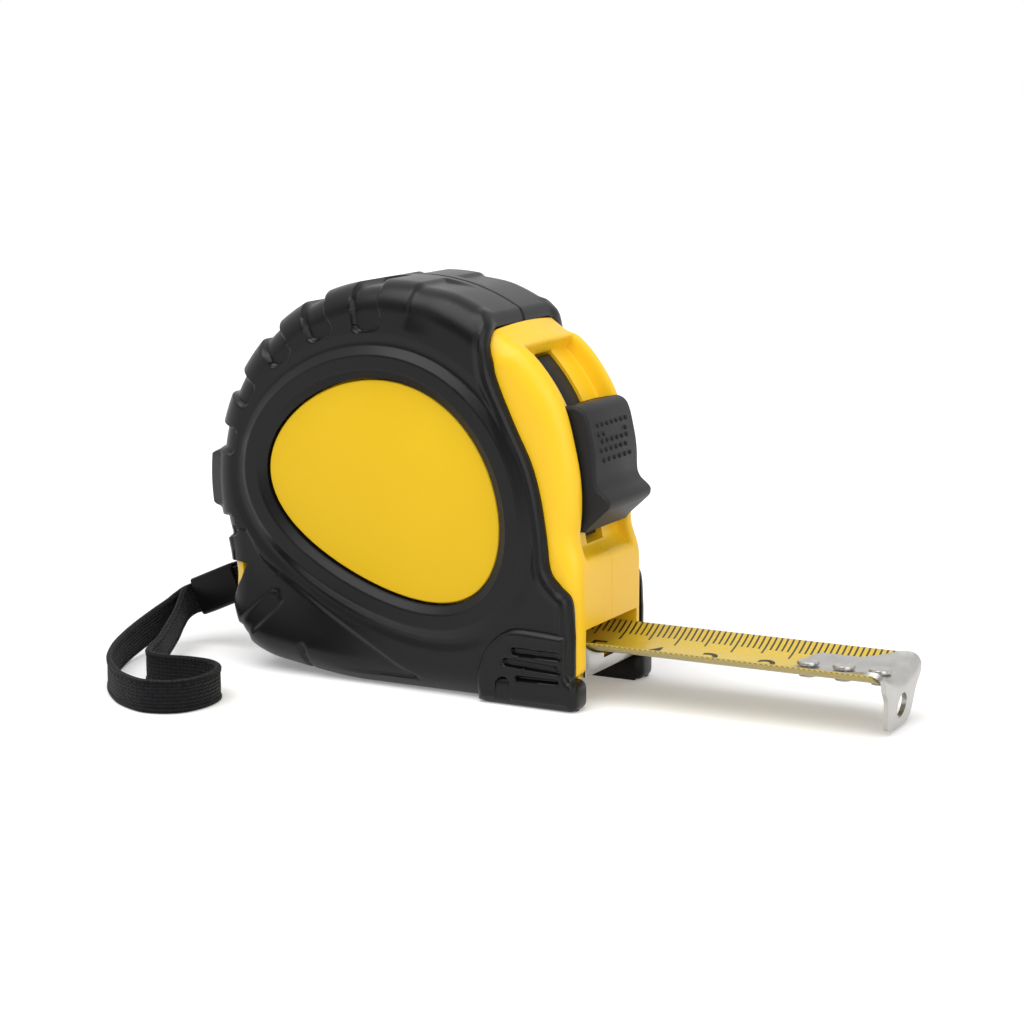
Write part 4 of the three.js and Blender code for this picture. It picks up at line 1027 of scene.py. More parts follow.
# %% Yellow ABS
abs_yellow = moulded_plastic(
    "moulded_yellow_abs", roughness=0.34, specular=0.35, grain=(0.385, 3), clouds=(16.7, 2),
    colours=("#eab919", "#f0c122"), rough_range=(0.28, 0.42), relief=(0.12, 0.02))

# %% [markdown]
# ## Front of the case
# The front carries the forms that the eye rests on: a swelling with a broad highlight, the thumb lock's recess
# and a block round the mouth that grows out of the swelling. The CAD's edges are too hard there, so this front
# is laid anew. Its profile, seen from the side, is an arc that turns into the block's upright face.

# %% Profile of the front
SWELLING_RADIUS, FRONT_BULGE, FACE_OUT = 33.5, 0.7, 34.5


def front_profile():
    """Rows of x, z and the outward direction there."""
    steps = np.concatenate([np.arange(60, 58, -1.0), np.arange(58, 55, -0.2), np.arange(55, 48, -0.7),
                            np.arange(48, 46, -0.1), np.arange(46, -8, -0.9)])
    reach = SWELLING_RADIUS + FRONT_BULGE * soft_step(steps - 14, 16) * (1 - soft_step(steps - 40, 15))
    round_part = np.array([(r * math.cos(a), AXIS_Z + r * math.sin(a)) for r, a in zip(reach, np.radians(steps))])
    turn_part = curve_through([(33.17, 28.34), (33.3, 26.9), (33.72, 25.3), (34.15, 23.9), (34.42, 22.4),
                               (FACE_OUT, 20.9), (FACE_OUT, 18.6)], 7, 0)
    down_part = np.column_stack([np.full(26, FACE_OUT), np.linspace(18.2, 4.3, 26)])
    line = np.vstack([round_part, turn_part, down_part])
    slope = np.gradient(line, axis=0)
    slope /= np.linalg.norm(slope, axis=1)[:, None]
    return line, np.column_stack([-slope[:, 1], slope[:, 0]])


profile, profile_out = front_profile()
profile_angle = np.degrees(np.arctan2(profile[:, 1] - AXIS_Z, profile[:, 0]))
print("front profile rows", len(profile))


# %% [markdown]
# At every row of the profile stands a section of one half: the recess floor, its wall with a rounded rim, the
# swelling's rounded corner and the flank. It goes back along an inner wall, so that the half is a closed solid.
# The recess ends above at 47 degrees round the drum axis, and the front sinks under the rubber at 56.

# %% Section of the front at a row
RIM_AT = [-0.3, -0.18, -0.1, -0.03, 0.03, 0.12, 0.28]
RECESS_FLOOR_RADIUS, RECESS_Y, RECESS_TOP, COVER_EDGE, MM_PER_DEGREE = 31.3, 8.6, 47, 56.4, 0.585
CROWN_FROM, CROWN_DEPTH, SUNK_DEPTH, HALF_SEAM = 46, 0.55, 1.5, 0.06
FLANK_Y, WALL_Y, INNER_Y, BACK_DEPTH, WALL_DEPTH = 12.3, 10.7, 6.0, 8.0, 4.9
section_y = ([0.04, 0.1, 0.2, 1.5, 2.8, 3.1, 4.5, 6, 7.2, 8.0, 8.3]
             + list(RECESS_Y + np.array(RIM_AT + [0.5])))


def rim(distance):
    """How deep the recess is at a distance from its wall, from 1 inside to 0 outside, with a rounded rim."""
    return np.interp(distance, RIM_AT + [0.55], [1, 0.97, 0.88, 0.6, 0.32, 0.15, 0.05, 0])


def front_half():
    rows = []
    for (x, z), (nx, nz), angle in zip(profile, profile_out, profile_angle):
        level = math.hypot(x, z - AXIS_Z) - RECESS_FLOOR_RADIUS if z > 28.3 else 2.2
        depth = level * rim((angle - RECESS_TOP) * MM_PER_DEGREE) * soft_step(z - 23.0, 3.2)
        crown = CROWN_DEPTH * soft_step(angle - CROWN_FROM, 5)
        sunk = SUNK_DEPTH * (1 - rim((angle - COVER_EDGE) * MM_PER_DEGREE))
        to_block = soft_step(29.0 - z, 9.0)
        corner_y, corner_out = 3.0 - 0.7 * to_block, 4.0 - 1.6 * to_block
        y = list(section_y)
        out = [-depth * rim(v - RECESS_Y) - HALF_SEAM * (v < 0.09) - crown * (v / 9) ** 2 for v in y]
        for a in np.radians(np.linspace(0, 90, 12)):
            y.append(FLANK_Y - corner_y + corner_y * math.sin(a))
            out.append(-corner_out * (1 - math.cos(a)) - crown * (y[-1] / 9) ** 2)
        y += [FLANK_Y, FLANK_Y, WALL_Y, WALL_Y, WALL_Y, INNER_Y, y[0], y[0]]
        out += [-6.0, -BACK_DEPTH, -BACK_DEPTH, -6.5, -WALL_DEPTH, -WALL_DEPTH, -WALL_DEPTH, out[0]]
        out = np.array(out)
        out = np.where(out > -WALL_DEPTH, np.maximum(out - sunk, -WALL_DEPTH + 0.3), out)
        rows.append([[x + o * nx, v, z + o * nz] for v, o in zip(y, out)])
    return closed(laid_grid(np.array(rows)))


# %% [markdown]
# The slot, the groove that the lock's strip slides up into, the mouth and the round corner under it are cut.

# %% Cutters for the front
def ring_sector(low_radius, high_radius, low, high, half_y):
    """A solid piece of a ring round the drum axis, between two angles in degrees."""
    turns = np.radians(np.linspace(low, high, 24))
    section = [(low_radius, -half_y), (high_radius, -half_y), (high_radius, half_y), (low_radius, half_y),
               (low_radius, -half_y)]
    rows = [[[r * math.cos(a), y, AXIS_Z + r * math.sin(a)] for r, y in section] for a in turns]
    return closed(laid_grid(np.array(rows)))


def extruded(bm, outline, height):
    """Fills an outline and extrudes it along y."""
    base = bm.faces.new([bm.verts.new(point) for point in outline])
    grown = bmesh.ops.extrude_face_region(bm, geom=[base])
    far_side = [g for g in grown["geom"] if isinstance(g, bmesh.types.BMVert)]
    bmesh.ops.translate(bm, vec=(0, height, 0), verts=far_side)


def block(low, high):
    """A box between two corners."""
    bm = bmesh.new()
    low, high = Vector(low), Vector(high)
    place = Matrix.Translation((low + high) / 2) @ Matrix.Diagonal((*(high - low), 1))
    bmesh.ops.create_cube(bm, size=1, matrix=place)
    return bm


def chin_cutter():
    """What lies outside the rounded lower corner of the mouth's walls."""
    bm = bmesh.new()
    rounding = [(32.9 + 1.6 * math.cos(a), 6.7 + 1.6 * math.sin(a)) for a in np.radians(np.arange(0, -91, -10))]
    outline = [(36, 3), (36, 6.9), (34.6, 6.9)] + rounding + [(31, 5.1), (31, 3)]
    extruded(bm, [(x, -15, z) for x, z in outline], 30)
    bmesh.ops.recalc_face_normals(bm, faces=bm.faces)
    return bm


# %% [markdown]
# The right half is cut first, and the left one is its mirror image. A mirrored mesh is inside out, so its faces
# are reversed. The two meet at a hair-wide seam.

# %% Front halves
SLOT_HALF_Y, STRIP_HALF_Y, FRONT_CREASE = 2.95, 2.75, 30
slot_cutter = ring_sector(27, 33, -13.6, 46.4, SLOT_HALF_Y)
groove_cutter = ring_sector(28.1, 31.2, 46, 63, SLOT_HALF_Y)
front_right = add_piece(front_half(), "abs_front_right", abs_yellow, "case", (), FRONT_CREASE)
for cutter in (slot_cutter, groove_cutter, block((25, -9.5, 2), (40, 9.5, 12.7)), chin_cutter()):
    cut_with(front_right, cutter)
mirrored = bmesh.new()
mirrored.from_mesh(front_right.data)
bmesh.ops.scale(mirrored, vec=(1, -1, 1), verts=mirrored.verts)
bmesh.ops.reverse_faces(mirrored, faces=mirrored.faces)
add_piece(mirrored, "abs_front_left", abs_yellow, "case", (), FRONT_CREASE, local=False)

# %% [markdown]
# The third case screw comes through the front's right half, so a round well is cut for it there.

# %% Screw well
screw_well = bmesh.new()
place = Matrix.Translation((SCREW_PLACES[2][0], 11.5, SCREW_PLACES[2][1])) @ Matrix.Rotation(math.pi / 2, 4, "X")
bmesh.ops.create_cone(screw_well, cap_ends=True, segments=40, radius1=2.2, radius2=2.2, depth=4, matrix=place)
cut_with(front_right, screw_well, FRONT_CREASE)

# %% [markdown]
# The rest of each case half is the CAD's shape with its front cut away behind the new skin.

# %% Case halves
CASE_CREASE, FRONT_INSIDE_Y, MOUTH_TOP, MOUTH_BACK_X = 32, 10.72, 12.7, 29.64


def front_cutter():
    section = [(-15, 4), (15, 4), (15, -7.95), (FRONT_INSIDE_Y, -7.95), (FRONT_INSIDE_Y, -4.86),
               (-FRONT_INSIDE_Y, -4.86), (-FRONT_INSIDE_Y, -7.95), (-15, -7.95), (-15, 4)]
    last = int(np.argmax(profile[:, 1] < MOUTH_TOP))
    rows = [[[x + o * nx, y, z + o * nz] for y, o in section]
            for (x, z), (nx, nz) in zip(profile[:last:2], profile_out[:last:2])]
    rows.append([[FACE_OUT + o, y, MOUTH_TOP] for y, o in section])
    return closed(laid_grid(np.array(rows)))


for side, name in ((-1, "left"), (1, "right")):
    add_piece(notch_pad(side), f"strap_notch_pad_{name}", abs_yellow, "case", (), 40)
for side, name in ((-1, "left"), (1, "right")):
    case_mesh = merged(f"case_{name}")
    bmesh.ops.scale(case_mesh, vec=(0.001, 0.001, 0.001), verts=case_mesh.verts)
    half = add_piece(case_mesh, f"abs_case_{name}", abs_yellow, "case", [f"case_{name}"],
                     CASE_CREASE, local=False)
    cut_with(half, front_cutter())
    near, far = (9.45, 15) if side > 0 else (-15, -9.45)
    cut_with(half, block((MOUTH_BACK_X, near, -2), (40, far, MOUTH_TOP + 0.02)), CASE_CREASE)

# %% [markdown]
# ## Side panels
# Each side has a smooth egg-shaped panel of satin plastic, pressed into the ring. It is a plain, deeper yellow
# with a very fine grain. The outline is filled and extruded, and its outer edge is bevelled.

# %% Panel finish
panel_yellow = moulded_plastic(
    "satin_yellow_panel", roughness=0.4, specular=0.2, grain=(0.333, 3), clouds=(22.2, 3),
    colours=("#d8ae15", "#dfb71c"), rough_range=(0.34, 0.5), relief=(0.15, 0.02))

# %% [markdown]
# Both panels come from the same outline, and the left one is scaled by minus one across the case. That turns it
# inside out, so the normals are worked out again.

# %% Panels
PANEL_BACK_Y, PANEL_THICKNESS = 12.35, 1.55


def panel_mesh(side):
    bm = bmesh.new()
    extruded(bm, [(EGG_CENTRE[0] + x, PANEL_BACK_Y, EGG_CENTRE[1] + z) for x, z in egg[::3]], PANEL_THICKNESS)
    top_edges = [e for e in bm.edges if all(v.co.y > PANEL_BACK_Y + 1 for v in e.verts)]
    bmesh.ops.bevel(bm, geom=top_edges, offset=0.3, affect="EDGES", segments=4, profile=0.5, material=-1)
    bmesh.ops.scale(bm, vec=(1, side, 1), verts=bm.verts)
    bmesh.ops.recalc_face_normals(bm, faces=bm.faces)
    return bm


for side, name in ((-1, "left"), (1, "right")):
    add_piece(panel_mesh(side), f"panel_{name}", panel_yellow, "case", [f"side_panel_{name}"], 30)

# %% [markdown]
# ## Thumb lock
# The button is a charcoal plastic block with a curved rest for the thumb and a nose below. Its side outline is
# a curve through the CAD's corner points. The outline is filled, extruded across and its long edges rounded.
# Rows of small dots, which give the thumb its grip, are flat beads set into the front.

# %% Lock finish
lock_plastic = moulded_plastic(
    "moulded_charcoal_nylon", roughness=0.44, specular=0.25, grain=(0.385, 4), clouds=(6.25, 2),
    colours=("#161617", "#1f1f21"), rough_range=(0.42, 0.58), relief=(0.3, 0.03))

# %% [markdown]
# The button's outline runs down its front as a curve, and up its back as an arc just above the recess's floor.
# Only the two rims are bevelled, because the front between them is smooth already.

# %% Button
BUTTON_HALF_Y, BUTTON_BACK_RADIUS = 8.2, 31.3
button_front = [(30.0, 48.2), (31.7, 48.45), (33.1, 47.75), (33.85, 46.3), (34.45, 44.0), (34.95, 41.6),
                (35.2, 39.4), (35.25, 37.5), (35.4, 36.2), (35.95, 35.2), (37.0, 34.35), (37.75, 33.5),
                (37.6, 32.45), (36.5, 31.3), (35.2, 30.1), (34.0, 28.95), (33.3, 28.1)]
front_line = evenly(curve_through(button_front, 8), 70)
back_line = arc(BUTTON_BACK_RADIUS, -9, 28, 2)
button_mesh = bmesh.new()
extruded(button_mesh, [(x, -BUTTON_HALF_Y, z) for x, z in np.vstack([front_line, back_line])], 2 * BUTTON_HALF_Y)
rims = [e for e in button_mesh.edges if abs(e.verts[0].co.y - e.verts[1].co.y) < 1e-6]
bmesh.ops.bevel(button_mesh, geom=rims, offset=0.7, affect="EDGES", segments=4, profile=0.5, material=-1,
                clamp_overlap=True)
bmesh.ops.recalc_face_normals(button_mesh, faces=button_mesh.faces)
print("button block of", len(button_mesh.faces), "faces")

# %% [markdown]
# The dots stand in rows across the thumb rest. Each is a small ball, a little flattened and half sunk in.

# %% Grip dots
dot_rows = [(45.2, np.linspace(-5.0, 5.4, 7)), (43.7, [-5.2, -3.4, 4.6]), (42.6, [-4.4, -2.6, -0.8, 1.0, 2.8, 4.6]),
            (41.2, [-5.2, -3.4, -1.6, 0.2, 2.0, 3.8]), (39.6, np.linspace(-4.6, 5.0, 6))]
for z, spots in dot_rows:
    x = float(np.interp(z, front_line[::-1, 1], front_line[::-1, 0]))
    for y in spots:
        place = Matrix.Translation((x, float(y), z)) @ Matrix.Diagonal((0.36, 0.4, 0.4, 1))
        bmesh.ops.create_icosphere(button_mesh, subdivisions=2, radius=1, matrix=place)
add_piece(button_mesh, "lock_button_block", lock_plastic, "thumb_lock", ["lock_button"], 45)

# %% [markdown]
# Above the button a dark strip fills the slot, just below the recess's floor. It belongs to the slider and
# travels up with it, into a groove inside the case. It is a piece of a ring with rounded edges.

# %% Slider and its strip
slider = softened("lock_slider", 0.12)
strip = ring_sector(27.9, 31.0, -12.9, 46.0, STRIP_HALF_Y)
long_edges = [e for e in strip.edges if e.is_manifold and e.calc_face_angle(0) > 1]
bmesh.ops.bevel(strip, geom=long_edges, offset=0.35, affect="EDGES", segments=3, profile=0.5, material=-1)
bmesh.ops.transform(strip, matrix=TO_FRAME, verts=strip.verts)
add_mesh(slider, strip)
add_piece(slider, "lock_slider_strip", black_satin, "thumb_lock", ["lock_slider"], 32, local=False)

# %% [markdown]
# ## Blade
# The blade is spring steel with a trough rolled along it, coated with lemon-yellow enamel. Its scale is
# printed on the hollow side: a mark each millimetre, longer ones at 5 and 10. The section is a thin arc with
# rounded lips, laid along X. The UV map holds real millimetres: distance from the hook and from the far lip.
# 100 is added to the second one on the underside, which tells the two sides apart.

# %% Blade section
BLADE_WIDTH, TROUGH_Z, TROUGH_TOP, TROUGH_BOTTOM = 19, 24.45, 16.5, 16.8
HALF_SPREAD = math.degrees(BLADE_WIDTH / 2 / TROUGH_BOTTOM)
BLADE_START, BLADE_END, HOOK_ZERO = 25.8, 82.8, 84.0
UNDERSIDE = 100


def trough_point(radius, degrees):
    """The y and z of a point of the trough, at an angle from its lowest line."""
    a = math.radians(270 + degrees)
    return radius * math.cos(a), TROUGH_Z + radius * math.sin(a)


spread = np.linspace(HALF_SPREAD, -HALF_SPREAD, 33)
middle = (TROUGH_TOP + TROUGH_BOTTOM) / 2
top_side = [(*trough_point(TROUGH_TOP, a), (HALF_SPREAD - a) / (2 * HALF_SPREAD) * BLADE_WIDTH) for a in spread]
near_lip = [(*trough_point(middle, -HALF_SPREAD - 0.45), UNDERSIDE)]
low_side = [(*trough_point(TROUGH_BOTTOM, a), UNDERSIDE + (a + HALF_SPREAD) / (2 * HALF_SPREAD) * BLADE_WIDTH)
            for a in spread[::-1]]
far_lip = [(*trough_point(middle, HALF_SPREAD + 0.45), UNDERSIDE + BLADE_WIDTH)]
section = np.array(top_side + near_lip + low_side + far_lip + top_side[:1])
blade_xs = np.linspace(BLADE_START, BLADE_END, 60)
points = np.array([[[x, y, z] for y, z, _ in section] for x in blade_xs])
uv = np.array([[[HOOK_ZERO - x, v] for _, _, v in section] for x in blade_xs])
blade_mesh = closed(laid_grid(points, uv))
print("blade", BLADE_END - BLADE_START, "mm long,", len(section), "points round its section")

# %% [markdown]
# Marks are drawn by numbers alone. The distance to the nearest whole millimetre makes a line about 0.34 mm
# wide, and its length depends on whether that millimetre divides by 5 or by 10. Baked enamel is a hard glossy
# paint, a little mottled in patches of 0.4 mm.

# %% Blade enamel with its scale
MARK_LENGTH, MOTTLE = 3.5, 0.417
enamel, tree, shader = new_finish("lemon_enamel_with_scale", roughness=0.33, coat=0.25, coat_roughness=0.2)
where = add_node(tree, "ShaderNodeUVMap", {"uv_map": "UVMap"})
spot = add_node(tree, "ShaderNodeSeparateXYZ", None, {0: where.outputs[0]})
from_hook, from_lip = spot.outputs[0], spot.outputs[1]
near_mm = add_node(tree, "ShaderNodeMath", {"operation": "ROUND"}, {0: from_hook})
off_mark = add_node(tree, "ShaderNodeMath", {"operation": "SUBTRACT"}, {0: from_hook, 1: near_mm.outputs[0]})
off_mark = add_node(tree, "ShaderNodeMath", {"operation": "ABSOLUTE"}, {0: off_mark.outputs[0]})
line = add_node(tree, "ShaderNodeMapRange", None,
                {"Value": off_mark.outputs[0], "From Min": 0.21, "From Max": 0.13, "To Min": 0.0, "To Max": 1.0})
length = MARK_LENGTH
for every, extra in ((5, 1.2), (10, 0.9)):
    part = add_node(tree, "ShaderNodeMath", {"operation": "DIVIDE"}, {0: near_mm.outputs[0], 1: every})
    whole = add_node(tree, "ShaderNodeMath", {"operation": "ROUND"}, {0: part.outputs[0]})
    divides = add_node(tree, "ShaderNodeMath", {"operation": "COMPARE"},
                       {0: part.outputs[0], 1: whole.outputs[0], 2: 0.02})
    more = add_node(tree, "ShaderNodeMath", {"operation": "MULTIPLY_ADD"},
                    {0: divides.outputs[0], 1: extra, 2: length})
    length = more.outputs[0]
short = add_node(tree, "ShaderNodeMath", {"operation": "SUBTRACT"}, {0: length, 1: from_lip})
inside = add_node(tree, "ShaderNodeMapRange", None, {"Value": short.outputs[0], "From Min": 0.0, "From Max": 0.12})
mark = add_node(tree, "ShaderNodeMath", {"operation": "MULTIPLY"}, {0: line.outputs[0], 1: inside.outputs[0]})
mottle = add_node(tree, "ShaderNodeTexNoise", None, {"Vector": where.outputs[0], "Scale": spot_scale(MOTTLE, 1),
                                                     "Detail": 4})
enamel_tint = add_node(tree, "ShaderNodeMix", {"data_type": "RGBA"},
                       {0: mottle.outputs[0], 6: colour("#b89a24"), 7: colour("#d5b83c")})

# %% [markdown]
# The underside is a plainer olive yellow with fine slanting rolling marks, 0.9 mm apart, which show along the
# near lip.

# %% Underside of the blade
ROLLING_SPACING = 0.9
below = add_node(tree, "ShaderNodeMath", {"operation": "GREATER_THAN"}, {0: from_lip, 1: UNDERSIDE / 2})
slant = add_node(tree, "ShaderNodeMath", {"operation": "ADD"}, {0: from_hook, 1: from_lip})
slant = add_node(tree, "ShaderNodeMath", {"operation": "MULTIPLY"},
                 {0: slant.outputs[0], 1: 2 * math.pi / ROLLING_SPACING})
slant = add_node(tree, "ShaderNodeMath", {"operation": "SINE"}, {0: slant.outputs[0]})
slant = add_node(tree, "ShaderNodeMapRange", None, {"Value": slant.outputs[0], "From Min": -1.0, "From Max": 1.0})
olive = add_node(tree, "ShaderNodeMix", {"data_type": "RGBA"},
                 {0: slant.outputs[0], 6: colour("#7d6a20"), 7: colour("#d0b850")})
body_tint = add_node(tree, "ShaderNodeMix", {"data_type": "RGBA"},
                     {0: below.outputs[0], 6: enamel_tint.outputs[2], 7: olive.outputs[2]})
inked = add_node(tree, "ShaderNodeMix", {"data_type": "RGBA"},
                 {0: mark.outputs[0], 6: body_tint.outputs[2], 7: colour("#1b1710")})
bump = add_node(tree, "ShaderNodeBump", None, {"Strength": 0.2, "Distance": 0.00003, "Height": mottle.outputs[0]})
link_finish(tree, shader, inked, bump=bump)
add_piece(blade_mesh, "enamelled_blade", enamel, "blade", ["blade"], 60)

# %% [markdown]
# Plain centimetre numbers are printed under the marks, in black ink that has worn a little. They are text
# turned to a mesh and laid in the trough by moving each point down to the enamel. Then they get a thickness.

# %% Printed numbers
NUMBER_SIZE, NUMBER_LOW, NUMBER_BEFORE, INK_THICKNESS = 8.2, -3.0, 2.6, 0.02
ink, tree, shader = new_finish("black_printing_ink", roughness=0.5)
where = add_node(tree, "ShaderNodeTexCoord")
wear = add_node(tree, "ShaderNodeTexNoise", None,
                {"Vector": where.outputs["Object"], "Scale": spot_scale(0.333), "Detail": 3})
tint = add_node(tree, "ShaderNodeMix", {"data_type": "RGBA"},
                {0: wear.outputs[0], 6: colour("#14110c"), 7: colour("#2b2515")})
link_finish(tree, shader, tint)


def number_mesh(number):
    """One number as a flat mesh, laid in the trough at its own centimetre."""
    text = bpy.data.curves.new("number", "FONT")
    text.body, text.size, text.align_x, text.extrude = str(number), NUMBER_SIZE, "CENTER", 0.0
    shape = bpy.data.objects.new("number", text)
    bpy.context.scene.collection.objects.link(shape)
    bpy.context.view_layer.update()
    bm = bmesh.new()
    bm.from_mesh(shape.to_mesh())
    shape.to_mesh_clear()
    bpy.data.objects.remove(shape)
    bpy.data.curves.remove(text)
    bmesh.ops.subdivide_edges(bm, edges=bm.edges, cuts=2, use_grid_fill=True)
    for vert in bm.verts:
        angle = math.degrees((NUMBER_LOW + vert.co.y) / TROUGH_TOP)
        y, z = trough_point(TROUGH_TOP - INK_THICKNESS, angle)
        vert.co = (HOOK_ZERO - 10 * number - NUMBER_BEFORE + vert.co.x, y, z)
    return bm


numbers = bmesh.new()
for number in range(1, 6):
    add_mesh(numbers, number_mesh(number))
bmesh.ops.solidify(numbers, geom=numbers.faces, thickness=-INK_THICKNESS)
bmesh.ops.recalc_face_normals(numbers, faces=numbers.faces)
add_piece(numbers, "scale_numbers", ink, "blade", (), 0)

# %% [markdown]
# ## End hook
# The hook is one strip of bright plated steel. Its tongue follows the trough, widens into two wings at the
# front and bends down into a face with a nail hole. The strip's top side is laid as a grid along the bend, and
# it is solidified afterwards, which gives it the sheet's thickness.

# %% Hook sheet
SHEET, BEND, FACE_X, FACE_LEAN, WING_HALF_WIDTH, HOOK_FOOT = 0.8, 2.0, 84.8, 0.8, 8.1, 0.5
TONGUE_START, TONGUE_FRONT = 67, 70
tongue_radius = TROUGH_TOP - 0.15 - 0.6


def tongue_half_width(x):
    return float(np.interp(x, [67, 67.6, 69, 75.5, 78.5, 81.5, 84.8], [2.4, 4.4, 5.5, 5.5, 6.6, 8.0, 8.1]))


def face_half_width(z):
    return float(np.interp(z, [0.5, 0.8, 1.4, 2.6, 4.6, 7, 9, 11], [3.2, 4.1, 4.9, 5.4, 5.9, 6.6, 7.7, 8.1]))


def tongue_row(x, drop):
    """A row of the strip across the trough, set down by a drop."""
    half = tongue_half_width(x)
    return [[x, half * v, TROUGH_Z - math.sqrt(tongue_radius ** 2 - (half * v) ** 2) - drop] for v in across]


across = np.linspace(-1, 1, 41)
rows = [tongue_row(x, 0) for x in np.concatenate([np.linspace(TONGUE_START, TONGUE_FRONT, 10),
                                                  np.linspace(TONGUE_FRONT, FACE_X - BEND, 26)[1:]])]
rows += [tongue_row(FACE_X - BEND + BEND * math.sin(a), BEND * (1 - math.cos(a)))
         for a in np.radians(np.linspace(0, 90, 12))[1:]]
bend_low = rows[-1]
for share in np.linspace(0, 1, 30)[1:]:
    row = []
    for v, start in zip(across, bend_low):
        z = start[2] + (HOOK_FOOT - start[2]) * share
        half = face_half_width(z)
        half += (WING_HALF_WIDTH - half) * (1 - soft_step(share, 0.4))
        row.append([FACE_X - FACE_LEAN * share ** 1.6, half * v, z])
    rows.append(row)
hook_mesh = laid_grid(np.array(rows))
bmesh.ops.recalc_face_normals(hook_mesh, faces=hook_mesh.faces)
lowest = min(hook_mesh.faces, key=lambda face: face.calc_center_median().z)
if lowest.normal.x < 0:
    bmesh.ops.reverse_faces(hook_mesh, faces=hook_mesh.faces)
bmesh.ops.solidify(hook_mesh, geom=hook_mesh.faces, thickness=SHEET)
bmesh.ops.recalc_face_normals(hook_mesh, faces=hook_mesh.faces)
print("hook sheet", len(rows), "rows")

# %% [markdown]
# Plated steel mirrors what is round it, softly. Here that is mostly white, so it looks light grey, with dark
# lines where it turns towards the case. Faint rolling marks run along the sheet and soften its reflections:
# they are 3.3 mm long and 0.4 mm wide, and handling smears the gloss in patches of about 2.4 mm.

# %% Bright plated steel
bright_steel, tree, shader = new_finish("bright_plated_steel", metallic=1.0, roughness=0.3)
where = add_node(tree, "ShaderNodeTexCoord")
stretch = add_node(tree, "ShaderNodeMapping", None, {
    "Vector": where.outputs["Object"], "Scale": (spot_scale(3.33), spot_scale(0.385), spot_scale(1.11))})
rolled = add_node(tree, "ShaderNodeTexNoise", None, {"Vector": stretch.outputs[0], "Scale": 1.0, "Detail": 4})
smear = add_node(tree, "ShaderNodeTexNoise", None,
                 {"Vector": where.outputs["Object"], "Scale": spot_scale(2.38), "Detail": 3})
rough = add_node(tree, "ShaderNodeMapRange", None, {"Value": smear.outputs[0], "To Min": 0.2, "To Max": 0.46})
tint = add_node(tree, "ShaderNodeMix", {"data_type": "RGBA"},
                {0: smear.outputs[0], 6: colour("#a9a7a4"), 7: colour("#c6c4c0")})
bump = add_node(tree, "ShaderNodeBump", None, {"Strength": 0.12, "Distance": 0.00003, "Height": rolled.outputs[0]})
link_finish(tree, shader, tint, rough, bump)
hook = add_piece(hook_mesh, "steel_end_hook", bright_steel, "end_hook", ["end_hook"], 35)

# %% [markdown]
# The hole in the hook's face lets the hook hang on a nail's head.

# %% Nail hole
nail_hole = bmesh.new()
place = Matrix.Translation((84.3, 0, 4.2)) @ Matrix.Rotation(math.pi / 2, 4, "Y")
bmesh.ops.create_cone(nail_hole, cap_ends=True, segments=40, radius1=2.0, radius2=2.0, depth=4, matrix=place)
cut_with(hook, nail_hole, 35)

# %% [markdown]
# ## Rivets
# Each rivet has a flat round head with a shallow dimple, pressed on the tongue, a shank and a spread tail below.
# Its half outline is spun once round.

# %% Rivets
RIVET_XS, HEAD_RADIUS = [68.9, 74.9, 80.9], 1.8
head_low = TROUGH_Z - math.sqrt(tongue_radius ** 2 - HEAD_RADIUS ** 2) + 0.15
tail_top = TROUGH_Z - TROUGH_BOTTOM - 0.15
outline = [(0, head_low + 0.52), (0.5, head_low + 0.55), (0.95, head_low + 0.68), (1.35, head_low + 0.7),
           (1.65, head_low + 0.6), (HEAD_RADIUS, head_low + 0.35), (1.78, head_low + 0.08), (1.6, head_low),
           (0.9, head_low), (0.9, tail_top), (1.35, tail_top), (1.5, tail_top - 0.15), (1.4, tail_top - 0.38),
           (1.0, tail_top - 0.5), (0, tail_top - 0.5)]
for i, rivet_x in enumerate(RIVET_XS):
    bm = bmesh.new()
    verts = [bm.verts.new((rivet_x + r, 0, z)) for r, z in outline]
    edges = [bm.edges.new(pair) for pair in zip(verts, verts[1:])]
    bmesh.ops.spin(bm, geom=verts + edges, cent=(rivet_x, 0, 0), axis=(0, 0, 1), angle=2 * math.pi, steps=36,
                   use_merge=True)
    closed(bm, fill=False)
    add_piece(bm, f"rivet_head_{i + 1}", bright_steel, "blade", [f"rivet_{i + 1}"], 40)

# %% [markdown]
# ## Mouth plate and inner parts
# The plate under the blade, the screws and what the case hides keep the CAD's shape, softened where it shows.

# %% Mouth plate
add_piece(softened("mouth_plate", 0.12), "steel_mouth_plate", bright_steel, "case",
          ["mouth_plate"], 32, local=False)

# %% [markdown]
# Dark zinc-plated screws, a blued spring and the wound blade are only seen by someone who opens the case, or
# through the screw holes. They still get the metal's own finish.

# %% Hidden metals
def plain_metal(name, dark, light, low, high):
    """A plated or blued metal, clouded in patches of about 1.1 mm."""
    metal, tree, shader = new_finish(name, metallic=1.0)
    where = add_node(tree, "ShaderNodeTexCoord")
    cloud = add_node(tree, "ShaderNodeTexNoise", None,
                     {"Vector": where.outputs["Object"], "Scale": spot_scale(1.11), "Detail": 3})
    tint = add_node(tree, "ShaderNodeMix", {"data_type": "RGBA"},
                    {0: cloud.outputs[0], 6: colour(dark), 7: colour(light)})
    rough = add_node(tree, "ShaderNodeMapRange", None, {"Value": cloud.outputs[0], "To Min": low, "To Max": high})
    bump = add_node(tree, "ShaderNodeBump", None,
                    {"Strength": 0.15, "Distance": 0.00002, "Height": cloud.outputs[0]})
    link_finish(tree, shader, tint, rough, bump)
    return metal


